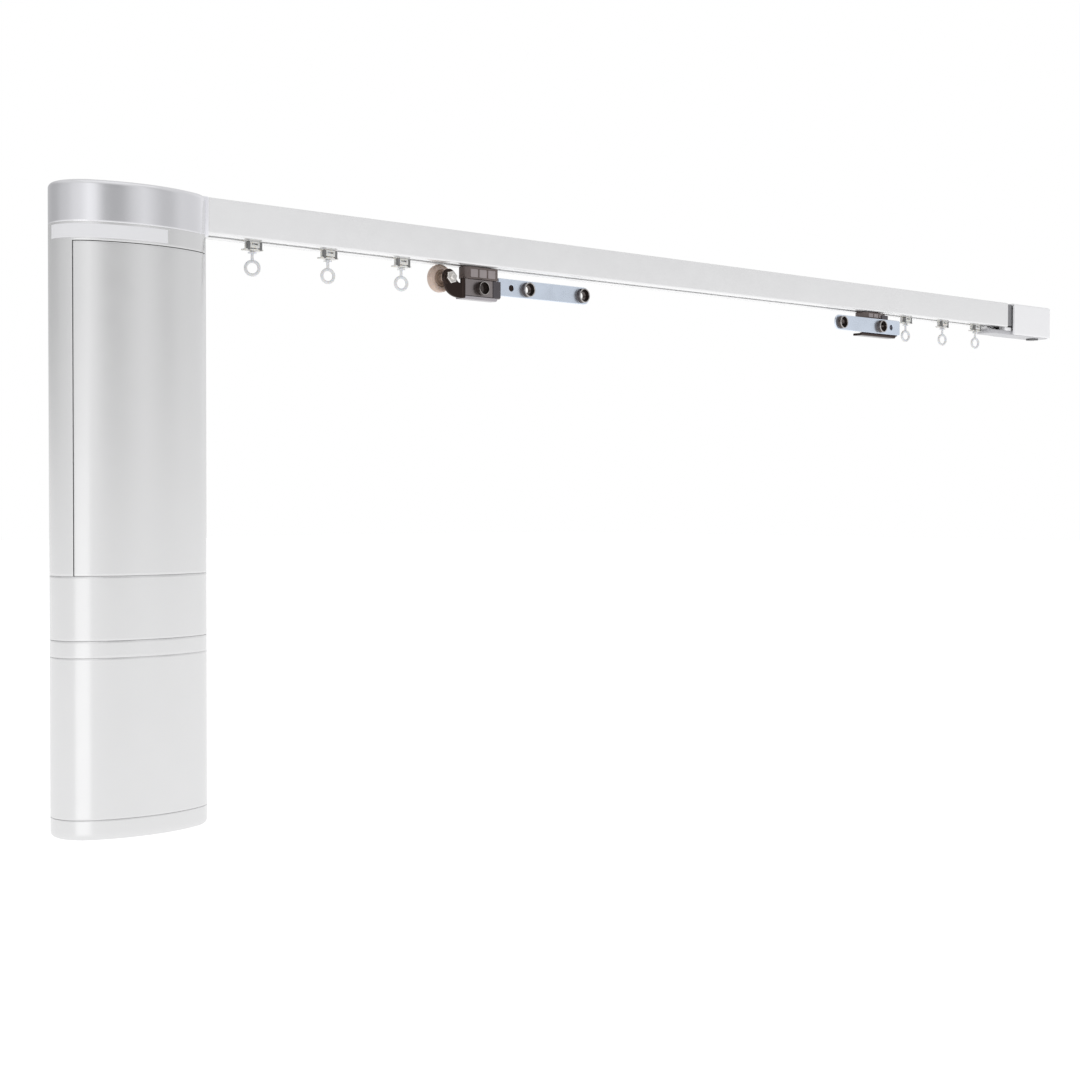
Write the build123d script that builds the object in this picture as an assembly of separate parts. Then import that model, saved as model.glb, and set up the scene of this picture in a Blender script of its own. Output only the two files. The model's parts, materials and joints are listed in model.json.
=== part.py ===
from build123d import *
import math
import os

os.makedirs("parts", exist_ok=True)

# Electric curtain track: a battery motor column at the left, a slotted rail going right
# +X runs along the rail from the motor to the return end, +Z is up, the room is at -Y
# The origin is on the ceiling plane, on the axis of the drive pulley

# Clearances shared by the whole object
seat_gap = 0.05
panel_gap = 0.25
running_gap = 0.05
sliding_gap = 0.10
free_gap = 0.30
cut_overrun = 2.0
middle_share = 0.5

# Motor column, plan outline of four arcs
column_half_length = 38.8
column_half_width = 22.0
column_end_radius = 17.5
column_arcs = 4
shell_wall = 2.0
edge_break = 0.4

# Motor column, heights of the pieces from the ceiling down
housing_height = 18.9
motor_shell_height = 158.3
collar_band_height = 29.2
latch_band_height = 7.5
battery_case_height = 72.9
battery_base_height = 9.2

# Pulley housing and its floor
housing_wall = 1.8
housing_roof = 1.6
housing_floor_thickness = 2.0
housing_top_fillet = 2.5
bearing_outer_radius = 7.0
bearing_height = 1.7
bearing_boss_wall = 1.4

# Rail
rail_width = 18.0
rail_height = 17.2
collar_inset = 1.8
rail_length = 693.0
rail_wall = 1.1
rail_lip = 1.2
rail_corner_radius = 0.7
slot_width = 5.2
groove_opening = 5.0
groove_width = 10.0
groove_lip = 1.1
groove_depth = 1.8
groove_web = 0.9

# Collar where the rail enters the housing
collar_length = 4.0
collar_side_width = 1.6

# Toothed belt and its two pulleys
belt_pitch = 3.0
pulley_teeth = 14
tooth_gap_share = 0.5
belt_thickness = 1.2
belt_height = 5.2
belt_top_gap = 0.5
pulley_tooth_depth = 0.9
pulley_flange_height = 0.7
pulley_flange_overhang = 1.1
shaft_radius = 3.0
shaft_top_inset = 0.6
shaft_flat_depth = 0.5

# Gearmotor and its frame inside the column
gearmotor_radius = 17.0
gearbox_height = 34.0
gearbox_nose_radius = 8.0
gearbox_nose_height = 3.0
gearbox_bore_depth = 10.0
gearbox_ring_shares = (0.25, 0.5, 0.75)
motor_can_rib = 0.4
motor_can_rib_height = 3.0
motor_tail_radius = 6.0
motor_tail_height = 3.0
chassis_plate = 3.0
chassis_post_radius = 3.0
chassis_rail_thickness = 3.0
chassis_rail_width = 12.0
chassis_rail_inset = 10.0

# Front panel
panel_seam_depth = 10.4
panel_top_margin = 8.4
panel_tab_length = 8.0
panel_tab_height = 2.5

# Control board and programming button
board_thickness = 1.6
board_length = 50.0
board_height = 34.0
board_drop = 2.0
board_foot_gap = 6.2
board_back_offset = 11.0
chip_length = 12.0
chip_height = 9.0
chip_thickness = 1.6
coil_radius = 4.0
coil_thickness = 5.0
shield_length = 16.0
shield_height = 12.0
shield_thickness = 2.6
switch_size = 6.0
button_radius = 3.2
button_travel = 0.8
button_proud = 0.6
button_collar = 1.2
button_collar_thickness = 0.8

# Collar band floor and battery sockets
band_floor_drop = 19.0
band_floor_thickness = 2.0
contact_count = 4
contact_pitch = 7.0
contact_radius = 1.0
socket_block_length = 32.0
socket_block_width = 8.0
socket_block_height = 6.0

# Battery pack
spigot_height = 6.4
spigot_wall = 1.8
cell_end_room = 13.0
cell_gap = 0.2
cell_length = 60.0
cell_side_room = 5.0
cell_rows = 2
cell_button_radius = 2.6
cell_button_height = 0.8
battery_board_length = 48.0
battery_board_width = 24.0
battery_base_wall = 2.5
battery_bottom_fillet = 2.4
jack_outer_radius = 4.6
jack_bore_radius = 2.8
jack_depth = 6.0
jack_pin_radius = 0.9

# Battery latch on the back
latch_length = 14.0
latch_height = 3.6
latch_proud = 0.7
latch_travel = 1.2
latch_tooth_length = 6.0
latch_tooth_reach = 1.4
latch_groove_depth = 1.0

# Return end
return_neck_length = 6.6
return_neck_inset = 0.9
return_cap_length = 53.8
return_cap_width = 20.8
return_cap_height = 22.4
return_cap_wall = 1.5
return_cap_corner = 8.4
return_cap_fillet = 1.4
return_pulley_inset = 13.4
return_base_thickness = 3.0
return_base_gap = 2.4
return_base_tongue = 19.7
return_base_width = 15.0
return_base_corner = 5.0
return_axle_radius = 2.0
return_axle_head_radius = 4.4
return_axle_head_height = 1.1
return_axle_slot_width = 1.1
return_axle_slot_depth = 0.55

# Master carriers, the runners inside the rail
runner_length = 32.0
runner_width = 8.8
runner_height = 5.2
wheel_radius = 3.0
wheel_thickness = 2.0
wheel_axle_radius = 1.0
wheel_spacing = 26.0
jaw_length = 18.0
jaw_thickness = 1.5
jaw_tooth_depth = 0.5

# Left carrier
left_block_start = 204.2
left_block_length = 23.0
left_block_front = 5.0
left_block_back = 2.4
block_height = 6.6
block_corner_radius = 3.0
block_window_count = 3
block_window_height_share = 0.62
block_window_depth = 0.8
block_window_gap = 1.1
block_neck_length = 18.0
block_drop = 0.4
bracket_thickness = 1.5
left_plate_offset = 3.0
left_plate_lead = 1.7
left_plate_length = 27.0
left_plate_height = 9.4
left_lip_depth = 6.0
left_lip_radius = 2.2
left_axle_x = 193.0
left_axle_drop = 7.5
bracket_eye_radius = 4.6
bracket_low_bow_share = 0.24
bracket_low_side_share = 0.2
bracket_high_side_share = 1.25
bracket_high_drop_share = 0.55
screw_place_share = 0.48
plate_screw_radius = 3.8
plate_screw_head = 2.8
plate_screw_socket_depth = 2.3
plate_screw_socket_radius = 3.1
plate_screw_shank_radius = 1.7

# Support wheel of the left carrier
support_radius = 7.4
support_thickness = 4.8
support_hub_radius = 4.4
support_hub_recess = 1.0
support_axle_radius = 1.5
support_front_offset = 1.6
nut_sides = 6
nut_across_flats = 6.0
nut_thickness = 2.4
nut_stub = 0.7

# Overlap arms, one pattern for both carriers
arm_reach = 70.4
arm_tab = 19.0
arm_height = 9.6
arm_thickness = 1.2
arm_top_drop = 4.8
arm_tip_radius = 4.3
arm_hole_offset = 9.6
arm_hole_radius = 1.8
rivet_offset = 21.4
rivet_spacing = 42.9
rivet_outer_radius = 4.0
rivet_bore_radius = 2.8
rivet_length = 2.6
rivet_flange_radius = 4.6
rivet_flange_thickness = 0.4
rivet_rim = 0.35
rivet_cup_radius = 3.4
rivet_cup_depth = 1.8

# Right carrier
right_block_inset = 167.0
right_block_length = 21.0
right_block_height = 4.0
right_block_front = 6.6
right_block_back = 3.2
right_root_overhang = 13.2
right_plate_lead = 5.0
right_plate_overhang = 12.5
right_plate_height = 14.6
right_tab_length = 5.0
right_tab_overhang = 1.5
right_tab_rise = 2.6
right_lip_depth = 7.0

# Gliders and their swivelling eyelets
left_glider_places = (69.2, 115.3, 163.2)
right_glider_insets = (113.1, 69.3, 28.4)
glider_turns = (-30.0, -12.0, -15.0, -10.0, -12.0, -10.0)
glider_shoe_length = 11.0
glider_shoe_width = 12.4
glider_shoe_thickness = 1.5
glider_neck_length = 7.6
glider_neck_width = 4.4
glider_body_length = 5.6
glider_body_width = 4.8
glider_body_height = 3.0
glider_ear_thickness = 1.6
glider_ear_height = 4.2
glider_ear_flare = 0.6
glider_drop = 0.3
eyelet_stem_radius = 0.75
eyelet_head_radius = 1.5
eyelet_head_height = 0.6
eyelet_flange_radius = 2.1
eyelet_flange_height = 0.6
eyelet_flange_drop = 5.2
eyelet_ring_drop = 12.9
eyelet_ring_radius = 3.3
eyelet_wire_radius = 0.8

# Screws
screw_head_radius = 2.4
screw_head_height = 1.4
screw_shank_radius = 1.1
screw_length = 6.0
screw_slot_width = 0.6
screw_slot_depth = 0.7
screw_spacing_x = 44.0
screw_spacing_y = 16.0

# Levels, counted down from the ceiling plane at zero
housing_bottom = -housing_height
shell_bottom = housing_bottom - motor_shell_height
collar_band_bottom = shell_bottom - collar_band_height
latch_band_bottom = collar_band_bottom - latch_band_height
case_bottom = latch_band_bottom - battery_case_height
base_bottom = case_bottom - battery_base_height

groove_floor = -(groove_lip + groove_depth)
chamber_top = groove_floor - groove_web
chamber_bottom = -(rail_height - rail_lip)
chamber_half_width = rail_width / 2 - rail_wall
rail_bottom = -rail_height
belt_top = chamber_top - belt_top_gap
belt_bottom = belt_top - belt_height

# Belt circle
pitch_radius = pulley_teeth * belt_pitch / (2 * math.pi)
belt_inner_radius = pitch_radius - belt_thickness / 2
belt_outer_radius = pitch_radius + belt_thickness / 2
pulley_tip_radius = belt_inner_radius - 2 * sliding_gap
pulley_flange_radius = pitch_radius + pulley_flange_overhang

# Places along the rail
collar_end = column_half_length - collar_inset
collar_start = collar_end - collar_length
rail_start = collar_start - collar_length / 2
rail_end = rail_start + rail_length
cap_start = rail_end + return_neck_length
cap_end = cap_start + return_cap_length
return_x = cap_end - return_pulley_inset
right_block_start = rail_end - right_block_inset
glider_places = left_glider_places + tuple(rail_end - inset for inset in right_glider_insets)


def block(x_low, x_high, y_low, y_high, z_low, z_high):
    """A box given by its lowest and highest corners."""
    size = Box(x_high - x_low, y_high - y_low, z_high - z_low)
    return Pos((x_low + x_high) / 2, (y_low + y_high) / 2, (z_low + z_high) / 2) * size


def post(x, y, z_low, z_high, radius):
    """An upright cylinder."""
    return Pos(x, y, (z_low + z_high) / 2) * Cylinder(radius, z_high - z_low)


def pin_y(x, z, y_low, y_high, radius):
    """A cylinder lying along Y."""
    return Pos(x, (y_low + y_high) / 2, z) * Rot(90, 0, 0) * Cylinder(radius, y_high - y_low)


def oval_outline(inset=0.0):
    """Plan of the column: two gently bowed sides joined to two round ends by tangent arcs."""
    half_length = column_half_length - inset
    half_width = column_half_width - inset
    end_radius = column_end_radius - inset
    end_centre = half_length - end_radius
    width_excess = half_width - end_radius
    side_radius = (end_centre**2 + half_width**2 - end_radius**2) / (2 * width_excess)
    side_centre = side_radius - half_width
    reach = side_radius - end_radius
    touch_x = end_centre * side_radius / reach
    touch_y = side_centre * side_radius / reach - side_centre
    return end_centre, half_length, half_width, touch_x, touch_y


def oval_face(inset=0.0):
    end_centre, half_length, half_width, touch_x, touch_y = oval_outline(inset)
    front = ThreePointArc((-touch_x, -touch_y), (0, -half_width), (touch_x, -touch_y))
    right = ThreePointArc((touch_x, -touch_y), (half_length, 0), (touch_x, touch_y))
    back = ThreePointArc((touch_x, touch_y), (0, half_width), (-touch_x, touch_y))
    left = ThreePointArc((-touch_x, touch_y), (-half_length, 0), (-touch_x, -touch_y))
    return make_face([front, right, back, left])


def oval_solid(z_low, z_high, inset=0.0):
    return extrude(Pos(0, 0, z_low) * oval_face(inset), amount=z_high - z_low)


def break_edges(solid, level, radius):
    """Rounds the outer rim of a column piece at one level."""
    rim = solid.edges().filter_by_position(Axis.Z, level - seat_gap, level + seat_gap)
    outer = [edge for edge in rim if abs(edge.position_at(middle_share).Z - level) < seat_gap]
    outermost = sorted(outer, key=edge_reach, reverse=True)[:column_arcs]
    return fillet(outermost, radius)


def edge_reach(edge):
    """How far the middle of an edge lies from the column's outline, measured from its axis."""
    middle = edge.position_at(middle_share)
    return math.hypot(middle.X / column_half_length, middle.Y / column_half_width)


def rail_section(inset=0.0):
    """Outer outline of the rail in the YZ plane."""
    width = rail_width - 2 * inset
    height = rail_height - 2 * inset
    outline = RectangleRounded(width, height, rail_corner_radius)
    return Pos(0, -rail_height / 2) * outline


def make_rail():
    section = rail_section()
    chamber_height = chamber_top - chamber_bottom
    chamber_middle = (chamber_top + chamber_bottom) / 2
    section -= Pos(0, chamber_middle) * Rectangle(2 * chamber_half_width, chamber_height)
    section -= Pos(0, (chamber_bottom + rail_bottom) / 2) * Rectangle(slot_width, rail_lip + 2 * seat_gap)
    groove_middle = -(groove_lip + groove_depth / 2)
    section -= Pos(0, groove_middle) * Rectangle(groove_width, groove_depth)
    section -= Pos(0, -groove_lip / 2) * Rectangle(groove_opening, groove_lip + 2 * seat_gap)
    return extrude(Plane.YZ.offset(rail_start) * section, amount=rail_length)


def make_collar():
    half_width = rail_width / 2 + collar_side_width
    solid = block(collar_start, collar_end, -half_width, half_width, housing_bottom, 0)
    opening = Plane.YZ.offset(collar_start - cut_overrun) * rail_section(-seat_gap)
    return solid - extrude(opening, amount=collar_length + 2 * cut_overrun)


def make_housing():
    solid = oval_solid(housing_bottom, 0)
    solid = break_edges(solid, 0, housing_top_fillet)
    solid -= oval_solid(housing_bottom - cut_overrun, -housing_roof, housing_wall)
    half_collar = rail_width / 2 + collar_side_width + seat_gap
    mouth = block(collar_start - seat_gap, column_half_length + cut_overrun, -half_collar, half_collar,
                  housing_bottom - cut_overrun, cut_overrun)
    half_rail = rail_width / 2 + seat_gap
    passage = block(rail_start - seat_gap, column_half_length + cut_overrun, -half_rail, half_rail,
                    housing_bottom - cut_overrun, cut_overrun)
    bearing_bottom = -housing_roof - bearing_height
    boss_radius = bearing_outer_radius + bearing_boss_wall
    boss = post(0, 0, bearing_bottom + bearing_height / 2, -housing_roof, boss_radius)
    boss -= post(0, 0, bearing_bottom - cut_overrun, -housing_roof, bearing_outer_radius)
    return solid - mouth - passage + boss


def make_housing_floor():
    top = housing_bottom + housing_floor_thickness
    solid = oval_solid(housing_bottom, top, housing_wall + seat_gap)
    seat_top = top + bearing_height
    solid += post(0, 0, top, seat_top, bearing_outer_radius + bearing_boss_wall)
    solid -= post(0, 0, top, seat_top + cut_overrun, bearing_outer_radius)
    solid -= post(0, 0, housing_bottom - cut_overrun, seat_top, shaft_radius + free_gap)
    half_collar = rail_width / 2 + collar_side_width + seat_gap
    solid -= block(rail_start - seat_gap, column_half_length, -half_collar, half_collar,
                   housing_bottom - cut_overrun, top + cut_overrun)
    for x, y in screw_places():
        solid -= post(x, y, housing_bottom - cut_overrun, top + cut_overrun, screw_shank_radius)
    return solid


def screw_places():
    half_x = screw_spacing_x / 2
    half_y = screw_spacing_y / 2
    return [(x, y) for x in (-half_x, half_x) for y in (-half_y, half_y)]


def make_bearings():
    """Two plain bearings of the drive shaft, one under the roof and one in the floor."""
    lower_seat = housing_bottom + housing_floor_thickness
    rings = []
    for bottom in (-housing_roof - bearing_height, lower_seat):
        ring = post(0, 0, bottom, bottom + bearing_height, bearing_outer_radius)
        rings.append(ring - post(0, 0, bottom - cut_overrun, bottom + bearing_height + cut_overrun,
                                 shaft_radius + running_gap))
    return Compound(children=rings)


def make_pulley(x, bore_radius, hub_low, hub_high):
    """A flanged belt pulley with square-shouldered teeth."""
    body = post(x, 0, belt_bottom - sliding_gap, belt_top + sliding_gap, pulley_tip_radius)
    root_radius = pulley_tip_radius - pulley_tooth_depth
    notch_width = belt_pitch * tooth_gap_share
    for index in range(pulley_teeth):
        notch = block(root_radius, pulley_tip_radius + cut_overrun, -notch_width / 2, notch_width / 2,
                      belt_bottom - cut_overrun, belt_top + cut_overrun)
        body -= Pos(x, 0, 0) * Rot(0, 0, 360 * index / pulley_teeth) * notch
    for low in (belt_bottom - sliding_gap - pulley_flange_height, belt_top + sliding_gap):
        body += post(x, 0, low, low + pulley_flange_height, pulley_flange_radius)
    if hub_low < belt_bottom - sliding_gap - pulley_flange_height:
        body += post(x, 0, hub_low, belt_bottom - sliding_gap, root_radius)
    return body - post(x, 0, hub_low - cut_overrun, hub_high + cut_overrun, bore_radius)


def make_belt():
    """The closed belt, standing on edge and wrapped round both pulleys."""
    outer = SlotCenterToCenter(return_x, 2 * belt_outer_radius)
    inner = SlotCenterToCenter(return_x, 2 * belt_inner_radius)
    return extrude(Pos(return_x / 2, 0, belt_bottom) * (outer - inner), amount=belt_height)


panel_top = housing_bottom - panel_top_margin - panel_gap
chassis_top = panel_top - panel_tab_height - free_gap
gearbox_top = chassis_top - chassis_plate
gearbox_bottom = gearbox_top - gearbox_height
motor_room = gearbox_bottom - shell_bottom - board_foot_gap - board_height - board_drop - chassis_plate
motor_can_height = motor_room - motor_tail_height
motor_bottom = gearbox_bottom - motor_can_height
chassis_bottom = motor_bottom - motor_tail_height
chassis_foot = chassis_bottom - chassis_plate


def make_drive_shaft():
    bottom = gearbox_top - gearbox_bore_depth + sliding_gap
    top = -housing_roof - shaft_top_inset
    solid = post(0, 0, bottom, top, shaft_radius)
    flat_y = shaft_radius - shaft_flat_depth
    solid -= block(-shaft_radius, shaft_radius, flat_y, shaft_radius, bottom - cut_overrun, gearbox_top)
    return solid


def make_shell():
    solid = oval_solid(shell_bottom, housing_bottom)
    solid = break_edges(solid, shell_bottom, edge_break)
    solid -= oval_solid(shell_bottom - cut_overrun, housing_bottom - shell_wall, shell_wall)
    solid -= block(-column_half_length - cut_overrun, column_half_length + cut_overrun,
                   -column_half_width - cut_overrun, -panel_seam_depth, shell_bottom - cut_overrun,
                   panel_top + panel_gap)
    solid -= post(0, 0, housing_bottom - shell_wall - cut_overrun, housing_bottom + cut_overrun,
                  shaft_radius + free_gap)
    for x, y in screw_places():
        solid -= post(x, y, housing_bottom - shell_wall - cut_overrun, housing_bottom + cut_overrun,
                      screw_shank_radius + seat_gap)
    button_z = button_level()
    solid -= pin_y(0, button_z, 0, column_half_width + cut_overrun, button_radius + sliding_gap)
    return solid


def button_level():
    return chassis_foot - board_drop - board_height / 2


def make_front_panel():
    solid = oval_solid(shell_bottom, panel_top)
    solid -= oval_solid(shell_bottom - cut_overrun, panel_top + cut_overrun, shell_wall)
    solid -= block(-column_half_length - cut_overrun, column_half_length + cut_overrun,
                   -panel_seam_depth - panel_gap, column_half_width + cut_overrun,
                   shell_bottom - cut_overrun, panel_top + cut_overrun)
    tab_low = panel_top - panel_tab_height
    tabs = oval_solid(tab_low, panel_top + panel_tab_height, shell_wall + seat_gap)
    tabs -= oval_solid(tab_low - cut_overrun, panel_top + panel_tab_height + cut_overrun, 2 * shell_wall)
    keep = block(-panel_tab_length / 2, panel_tab_length / 2, -column_half_width, -panel_seam_depth,
                 tab_low, panel_top + panel_tab_height)
    inner_face = column_half_width - shell_wall
    bridge = block(-panel_tab_length / 2, panel_tab_length / 2, -inner_face - seat_gap - panel_gap,
                   -inner_face + shell_wall / 2, tab_low, panel_top)
    return solid + (tabs & keep) + (bridge & oval_solid(tab_low, panel_top))


def make_gearbox():
    solid = post(0, 0, gearbox_bottom, gearbox_top, gearmotor_radius)
    solid += post(0, 0, gearbox_top, gearbox_top + gearbox_nose_height, gearbox_nose_radius)
    for share in gearbox_ring_shares:
        level = gearbox_bottom + share * gearbox_height
        ring = post(0, 0, level, level + motor_can_rib, gearmotor_radius)
        solid -= ring - post(0, 0, level, level + motor_can_rib, gearmotor_radius - motor_can_rib)
    solid -= post(0, 0, gearbox_top - gearbox_bore_depth, gearbox_top + gearbox_nose_height + cut_overrun,
                  shaft_radius + running_gap)
    return solid


def make_motor_can():
    solid = post(0, 0, motor_bottom, gearbox_bottom, gearmotor_radius - motor_can_rib)
    solid += post(0, 0, motor_bottom + motor_can_rib_height, motor_bottom + 2 * motor_can_rib_height,
                  gearmotor_radius)
    solid += post(0, 0, chassis_bottom, motor_bottom, motor_tail_radius)
    return solid


def make_chassis():
    """The frame that hangs the gearmotor under the shell's roof."""
    inset = shell_wall + free_gap
    roof_under = housing_bottom - shell_wall
    solid = oval_solid(gearbox_top, chassis_top, inset)
    solid += oval_solid(chassis_foot, chassis_bottom, inset)
    solid -= post(0, 0, gearbox_top - cut_overrun, chassis_top + cut_overrun, gearbox_nose_radius + seat_gap)
    rail_x = column_half_length - chassis_rail_inset
    half = chassis_rail_width / 2
    for side in (-1, 1):
        outer = side * rail_x
        inner = side * (rail_x - chassis_rail_thickness)
        low, high = min(outer, inner), max(outer, inner)
        solid += block(low, high, -half, half, chassis_bottom, gearbox_top)
    for x, y in screw_places():
        solid += post(x, y, chassis_top, roof_under, chassis_post_radius)
        solid -= post(x, y, chassis_top, roof_under + cut_overrun, screw_shank_radius)
    return solid


def make_control_board():
    top = chassis_foot
    bottom = top - board_drop - board_height
    back = board_back_offset + board_thickness
    solid = block(-board_length / 2, board_length / 2, board_back_offset, back, bottom, top)
    front = board_back_offset
    middle = button_level()
    solid += block(-board_length / 2 + chip_length, -board_length / 2 + 2 * chip_length,
                   front - chip_thickness, front, middle - chip_height / 2, middle + chip_height / 2)
    shield_x = board_length / 2 - shield_length - chip_thickness
    solid += block(shield_x, shield_x + shield_length, front - shield_thickness, front,
                   middle - shield_height / 2, middle + shield_height / 2)
    solid += pin_y(-board_length / 2 + chip_length / 2, middle, front - coil_thickness, front, coil_radius)
    switch_top = column_half_width - shell_wall - button_collar_thickness - button_travel - free_gap
    solid += block(-switch_size / 2, switch_size / 2, back, switch_top,
                   middle - switch_size / 2, middle + switch_size / 2)
    return solid


def make_program_button():
    level = button_level()
    wall_inner = column_half_width - shell_wall
    collar_inner = wall_inner - free_gap - button_collar_thickness
    solid = pin_y(0, level, collar_inner, column_half_width + button_proud, button_radius)
    solid += pin_y(0, level, collar_inner, wall_inner - free_gap, button_radius + button_collar)
    return solid


def make_collar_band():
    solid = oval_solid(collar_band_bottom, shell_bottom)
    for level in (collar_band_bottom, shell_bottom):
        solid = break_edges(solid, level, edge_break)
    floor_top = shell_bottom - band_floor_drop
    floor_low = floor_top - band_floor_thickness
    solid -= oval_solid(floor_top, shell_bottom + cut_overrun, shell_wall)
    solid -= oval_solid(collar_band_bottom - cut_overrun, floor_low, shell_wall)
    rise = oval_solid(shell_bottom, shell_bottom + panel_tab_height, shell_wall + seat_gap)
    rise -= oval_solid(shell_bottom - cut_overrun, shell_bottom + panel_tab_height + cut_overrun,
                       2 * shell_wall)
    neck = oval_solid(shell_bottom - panel_tab_height, shell_bottom, shell_wall / 2)
    neck -= oval_solid(shell_bottom - panel_tab_height - cut_overrun, shell_bottom + cut_overrun,
                       2 * shell_wall)
    return solid + rise + neck


def contact_places():
    first = -(contact_count - 1) * contact_pitch / 2
    return [first + index * contact_pitch for index in range(contact_count)]


def make_socket_block():
    top = shell_bottom - band_floor_drop - band_floor_thickness
    low = top - socket_block_height
    solid = block(-socket_block_length / 2, socket_block_length / 2, -socket_block_width / 2,
                  socket_block_width / 2, low, top)
    for x in contact_places():
        solid -= post(x, 0, low - cut_overrun, top - band_floor_thickness / 2, contact_radius + free_gap)
    return solid


def make_latch_band():
    solid = oval_solid(latch_band_bottom, collar_band_bottom)
    for level in (latch_band_bottom, collar_band_bottom):
        solid = break_edges(solid, level, edge_break)
    solid -= oval_solid(latch_band_bottom - cut_overrun, collar_band_bottom + cut_overrun, shell_wall)
    half = latch_length / 2 + sliding_gap
    middle = latch_level()
    tall = latch_height / 2 + sliding_gap
    solid -= block(-half, half, 0, column_half_width + cut_overrun, middle - tall, middle + tall)
    return solid


def latch_level():
    return (latch_band_bottom + collar_band_bottom) / 2


def make_latch():
    middle = latch_level()
    half = latch_height / 2
    inner = column_half_width - shell_wall - latch_tooth_reach
    solid = block(-latch_length / 2, latch_length / 2, column_half_width - shell_wall,
                  column_half_width + latch_proud, middle - half, middle + half)
    solid += block(-latch_tooth_length / 2, latch_tooth_length / 2, inner, column_half_width - shell_wall,
                   middle - half / 2, middle + half / 2)
    return solid


def make_battery_case():
    solid = oval_solid(case_bottom, latch_band_bottom)
    for level in (case_bottom, latch_band_bottom):
        solid = break_edges(solid, level, edge_break)
    solid -= oval_solid(case_bottom - cut_overrun, latch_band_bottom - shell_wall, shell_wall)
    spigot_inset = shell_wall + free_gap
    spigot_top = latch_band_bottom + spigot_height
    spigot = oval_solid(latch_band_bottom - shell_wall, spigot_top, spigot_inset)
    spigot -= oval_solid(latch_band_bottom, spigot_top + cut_overrun, spigot_inset + spigot_wall)
    groove_half = latch_length / 2 + free_gap
    groove_floor_y = column_half_width - spigot_inset - latch_tooth_reach - latch_travel - latch_groove_depth
    spigot -= block(-groove_half, groove_half, groove_floor_y, column_half_width,
                    latch_band_bottom, spigot_top + cut_overrun)
    solid += spigot
    for x in contact_places():
        solid -= post(x, 0, latch_band_bottom - 2 * shell_wall, latch_band_bottom + cut_overrun,
                      contact_radius + seat_gap)
    return solid


cell_top = latch_band_bottom - shell_wall - board_thickness - free_gap
cell_bottom = cell_top - cell_button_height - cell_length
cell_radius = (column_half_width - cell_side_room) / cell_rows
cell_room = 2 * (column_half_length - cell_end_room)
cell_columns = round(cell_room / (2 * cell_radius + cell_gap) - middle_share / 2)
cell_pitch = cell_room / cell_columns
cell_row_pitch = 2 * cell_radius + cell_gap


def make_battery_board():
    top = cell_top + board_thickness
    return block(-battery_board_length / 2, battery_board_length / 2, -battery_board_width / 2,
                 battery_board_width / 2, cell_top, top)


def make_battery_contacts():
    low = cell_top + board_thickness
    high = shell_bottom - band_floor_drop - band_floor_thickness - socket_block_height + band_floor_thickness
    pins = [post(x, 0, low, high, contact_radius) for x in contact_places()]
    return Compound(children=pins)


def make_cells():
    cells = []
    for column in range(cell_columns):
        for row in range(cell_rows):
            x = (column - (cell_columns - 1) / 2) * cell_pitch
            y = (row - (cell_rows - 1) / 2) * cell_row_pitch
            body = post(x, y, cell_bottom, cell_top - cell_button_height, cell_radius)
            cells.append(body + post(x, y, cell_top - cell_button_height, cell_top, cell_button_radius))
    return Compound(children=cells)


def make_battery_base():
    solid = oval_solid(base_bottom, case_bottom)
    solid = break_edges(solid, case_bottom, edge_break)
    solid = break_edges(solid, base_bottom, battery_bottom_fillet)
    solid -= oval_solid(base_bottom + battery_base_wall, case_bottom + cut_overrun, shell_wall)
    rib_half = shell_wall / 2
    rib_reach = column_half_width - 2 * shell_wall
    for x in (-cell_pitch, cell_pitch):
        solid += block(x - rib_half, x + rib_half, -rib_reach / 2, rib_reach / 2,
                       base_bottom + battery_base_wall, cell_bottom)
    jack_top = base_bottom + jack_depth + battery_base_wall
    solid += post(0, 0, base_bottom + battery_base_wall, jack_top, jack_outer_radius)
    solid -= post(0, 0, base_bottom - cut_overrun, base_bottom + jack_depth, jack_bore_radius)
    return solid


def make_jack_pin():
    return post(0, 0, base_bottom + battery_base_wall, base_bottom + jack_depth, jack_pin_radius)


def cap_outline(inset, start):
    """Plan of the return cap: square at the rail, rounded at the far corners."""
    half = return_cap_width / 2 - inset
    far = cap_end - inset
    radius = return_cap_corner - inset
    near = start
    face = Pos((near + far) / 2, 0) * Rectangle(far - near, 2 * half)
    corners = face.vertices().filter_by_position(Axis.X, far - seat_gap, far + seat_gap)
    return fillet(corners, radius)


cap_bottom = -return_cap_height
base_plate_top = rail_bottom - return_base_gap
base_plate_bottom = base_plate_top - return_base_thickness


def make_return_cap():
    solid = extrude(Pos(0, 0, cap_bottom) * cap_outline(0, cap_start), amount=return_cap_height)
    top_rim = solid.edges().group_by(Axis.Z)[-1].filter_by(lambda edge: edge.length > seat_gap)
    solid = fillet(top_rim, return_cap_fillet)
    hollow = cap_outline(return_cap_wall, cap_start - cut_overrun)
    solid -= extrude(Pos(0, 0, cap_bottom - cut_overrun) * hollow,
                     amount=return_cap_height + cut_overrun - return_cap_wall)
    boss_low = belt_top + sliding_gap + pulley_flange_height + sliding_gap
    solid += post(return_x, 0, boss_low, -return_cap_wall, 2 * return_axle_radius)
    solid -= post(return_x, 0, boss_low - cut_overrun, -return_cap_wall, return_axle_radius + seat_gap)
    return solid


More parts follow.
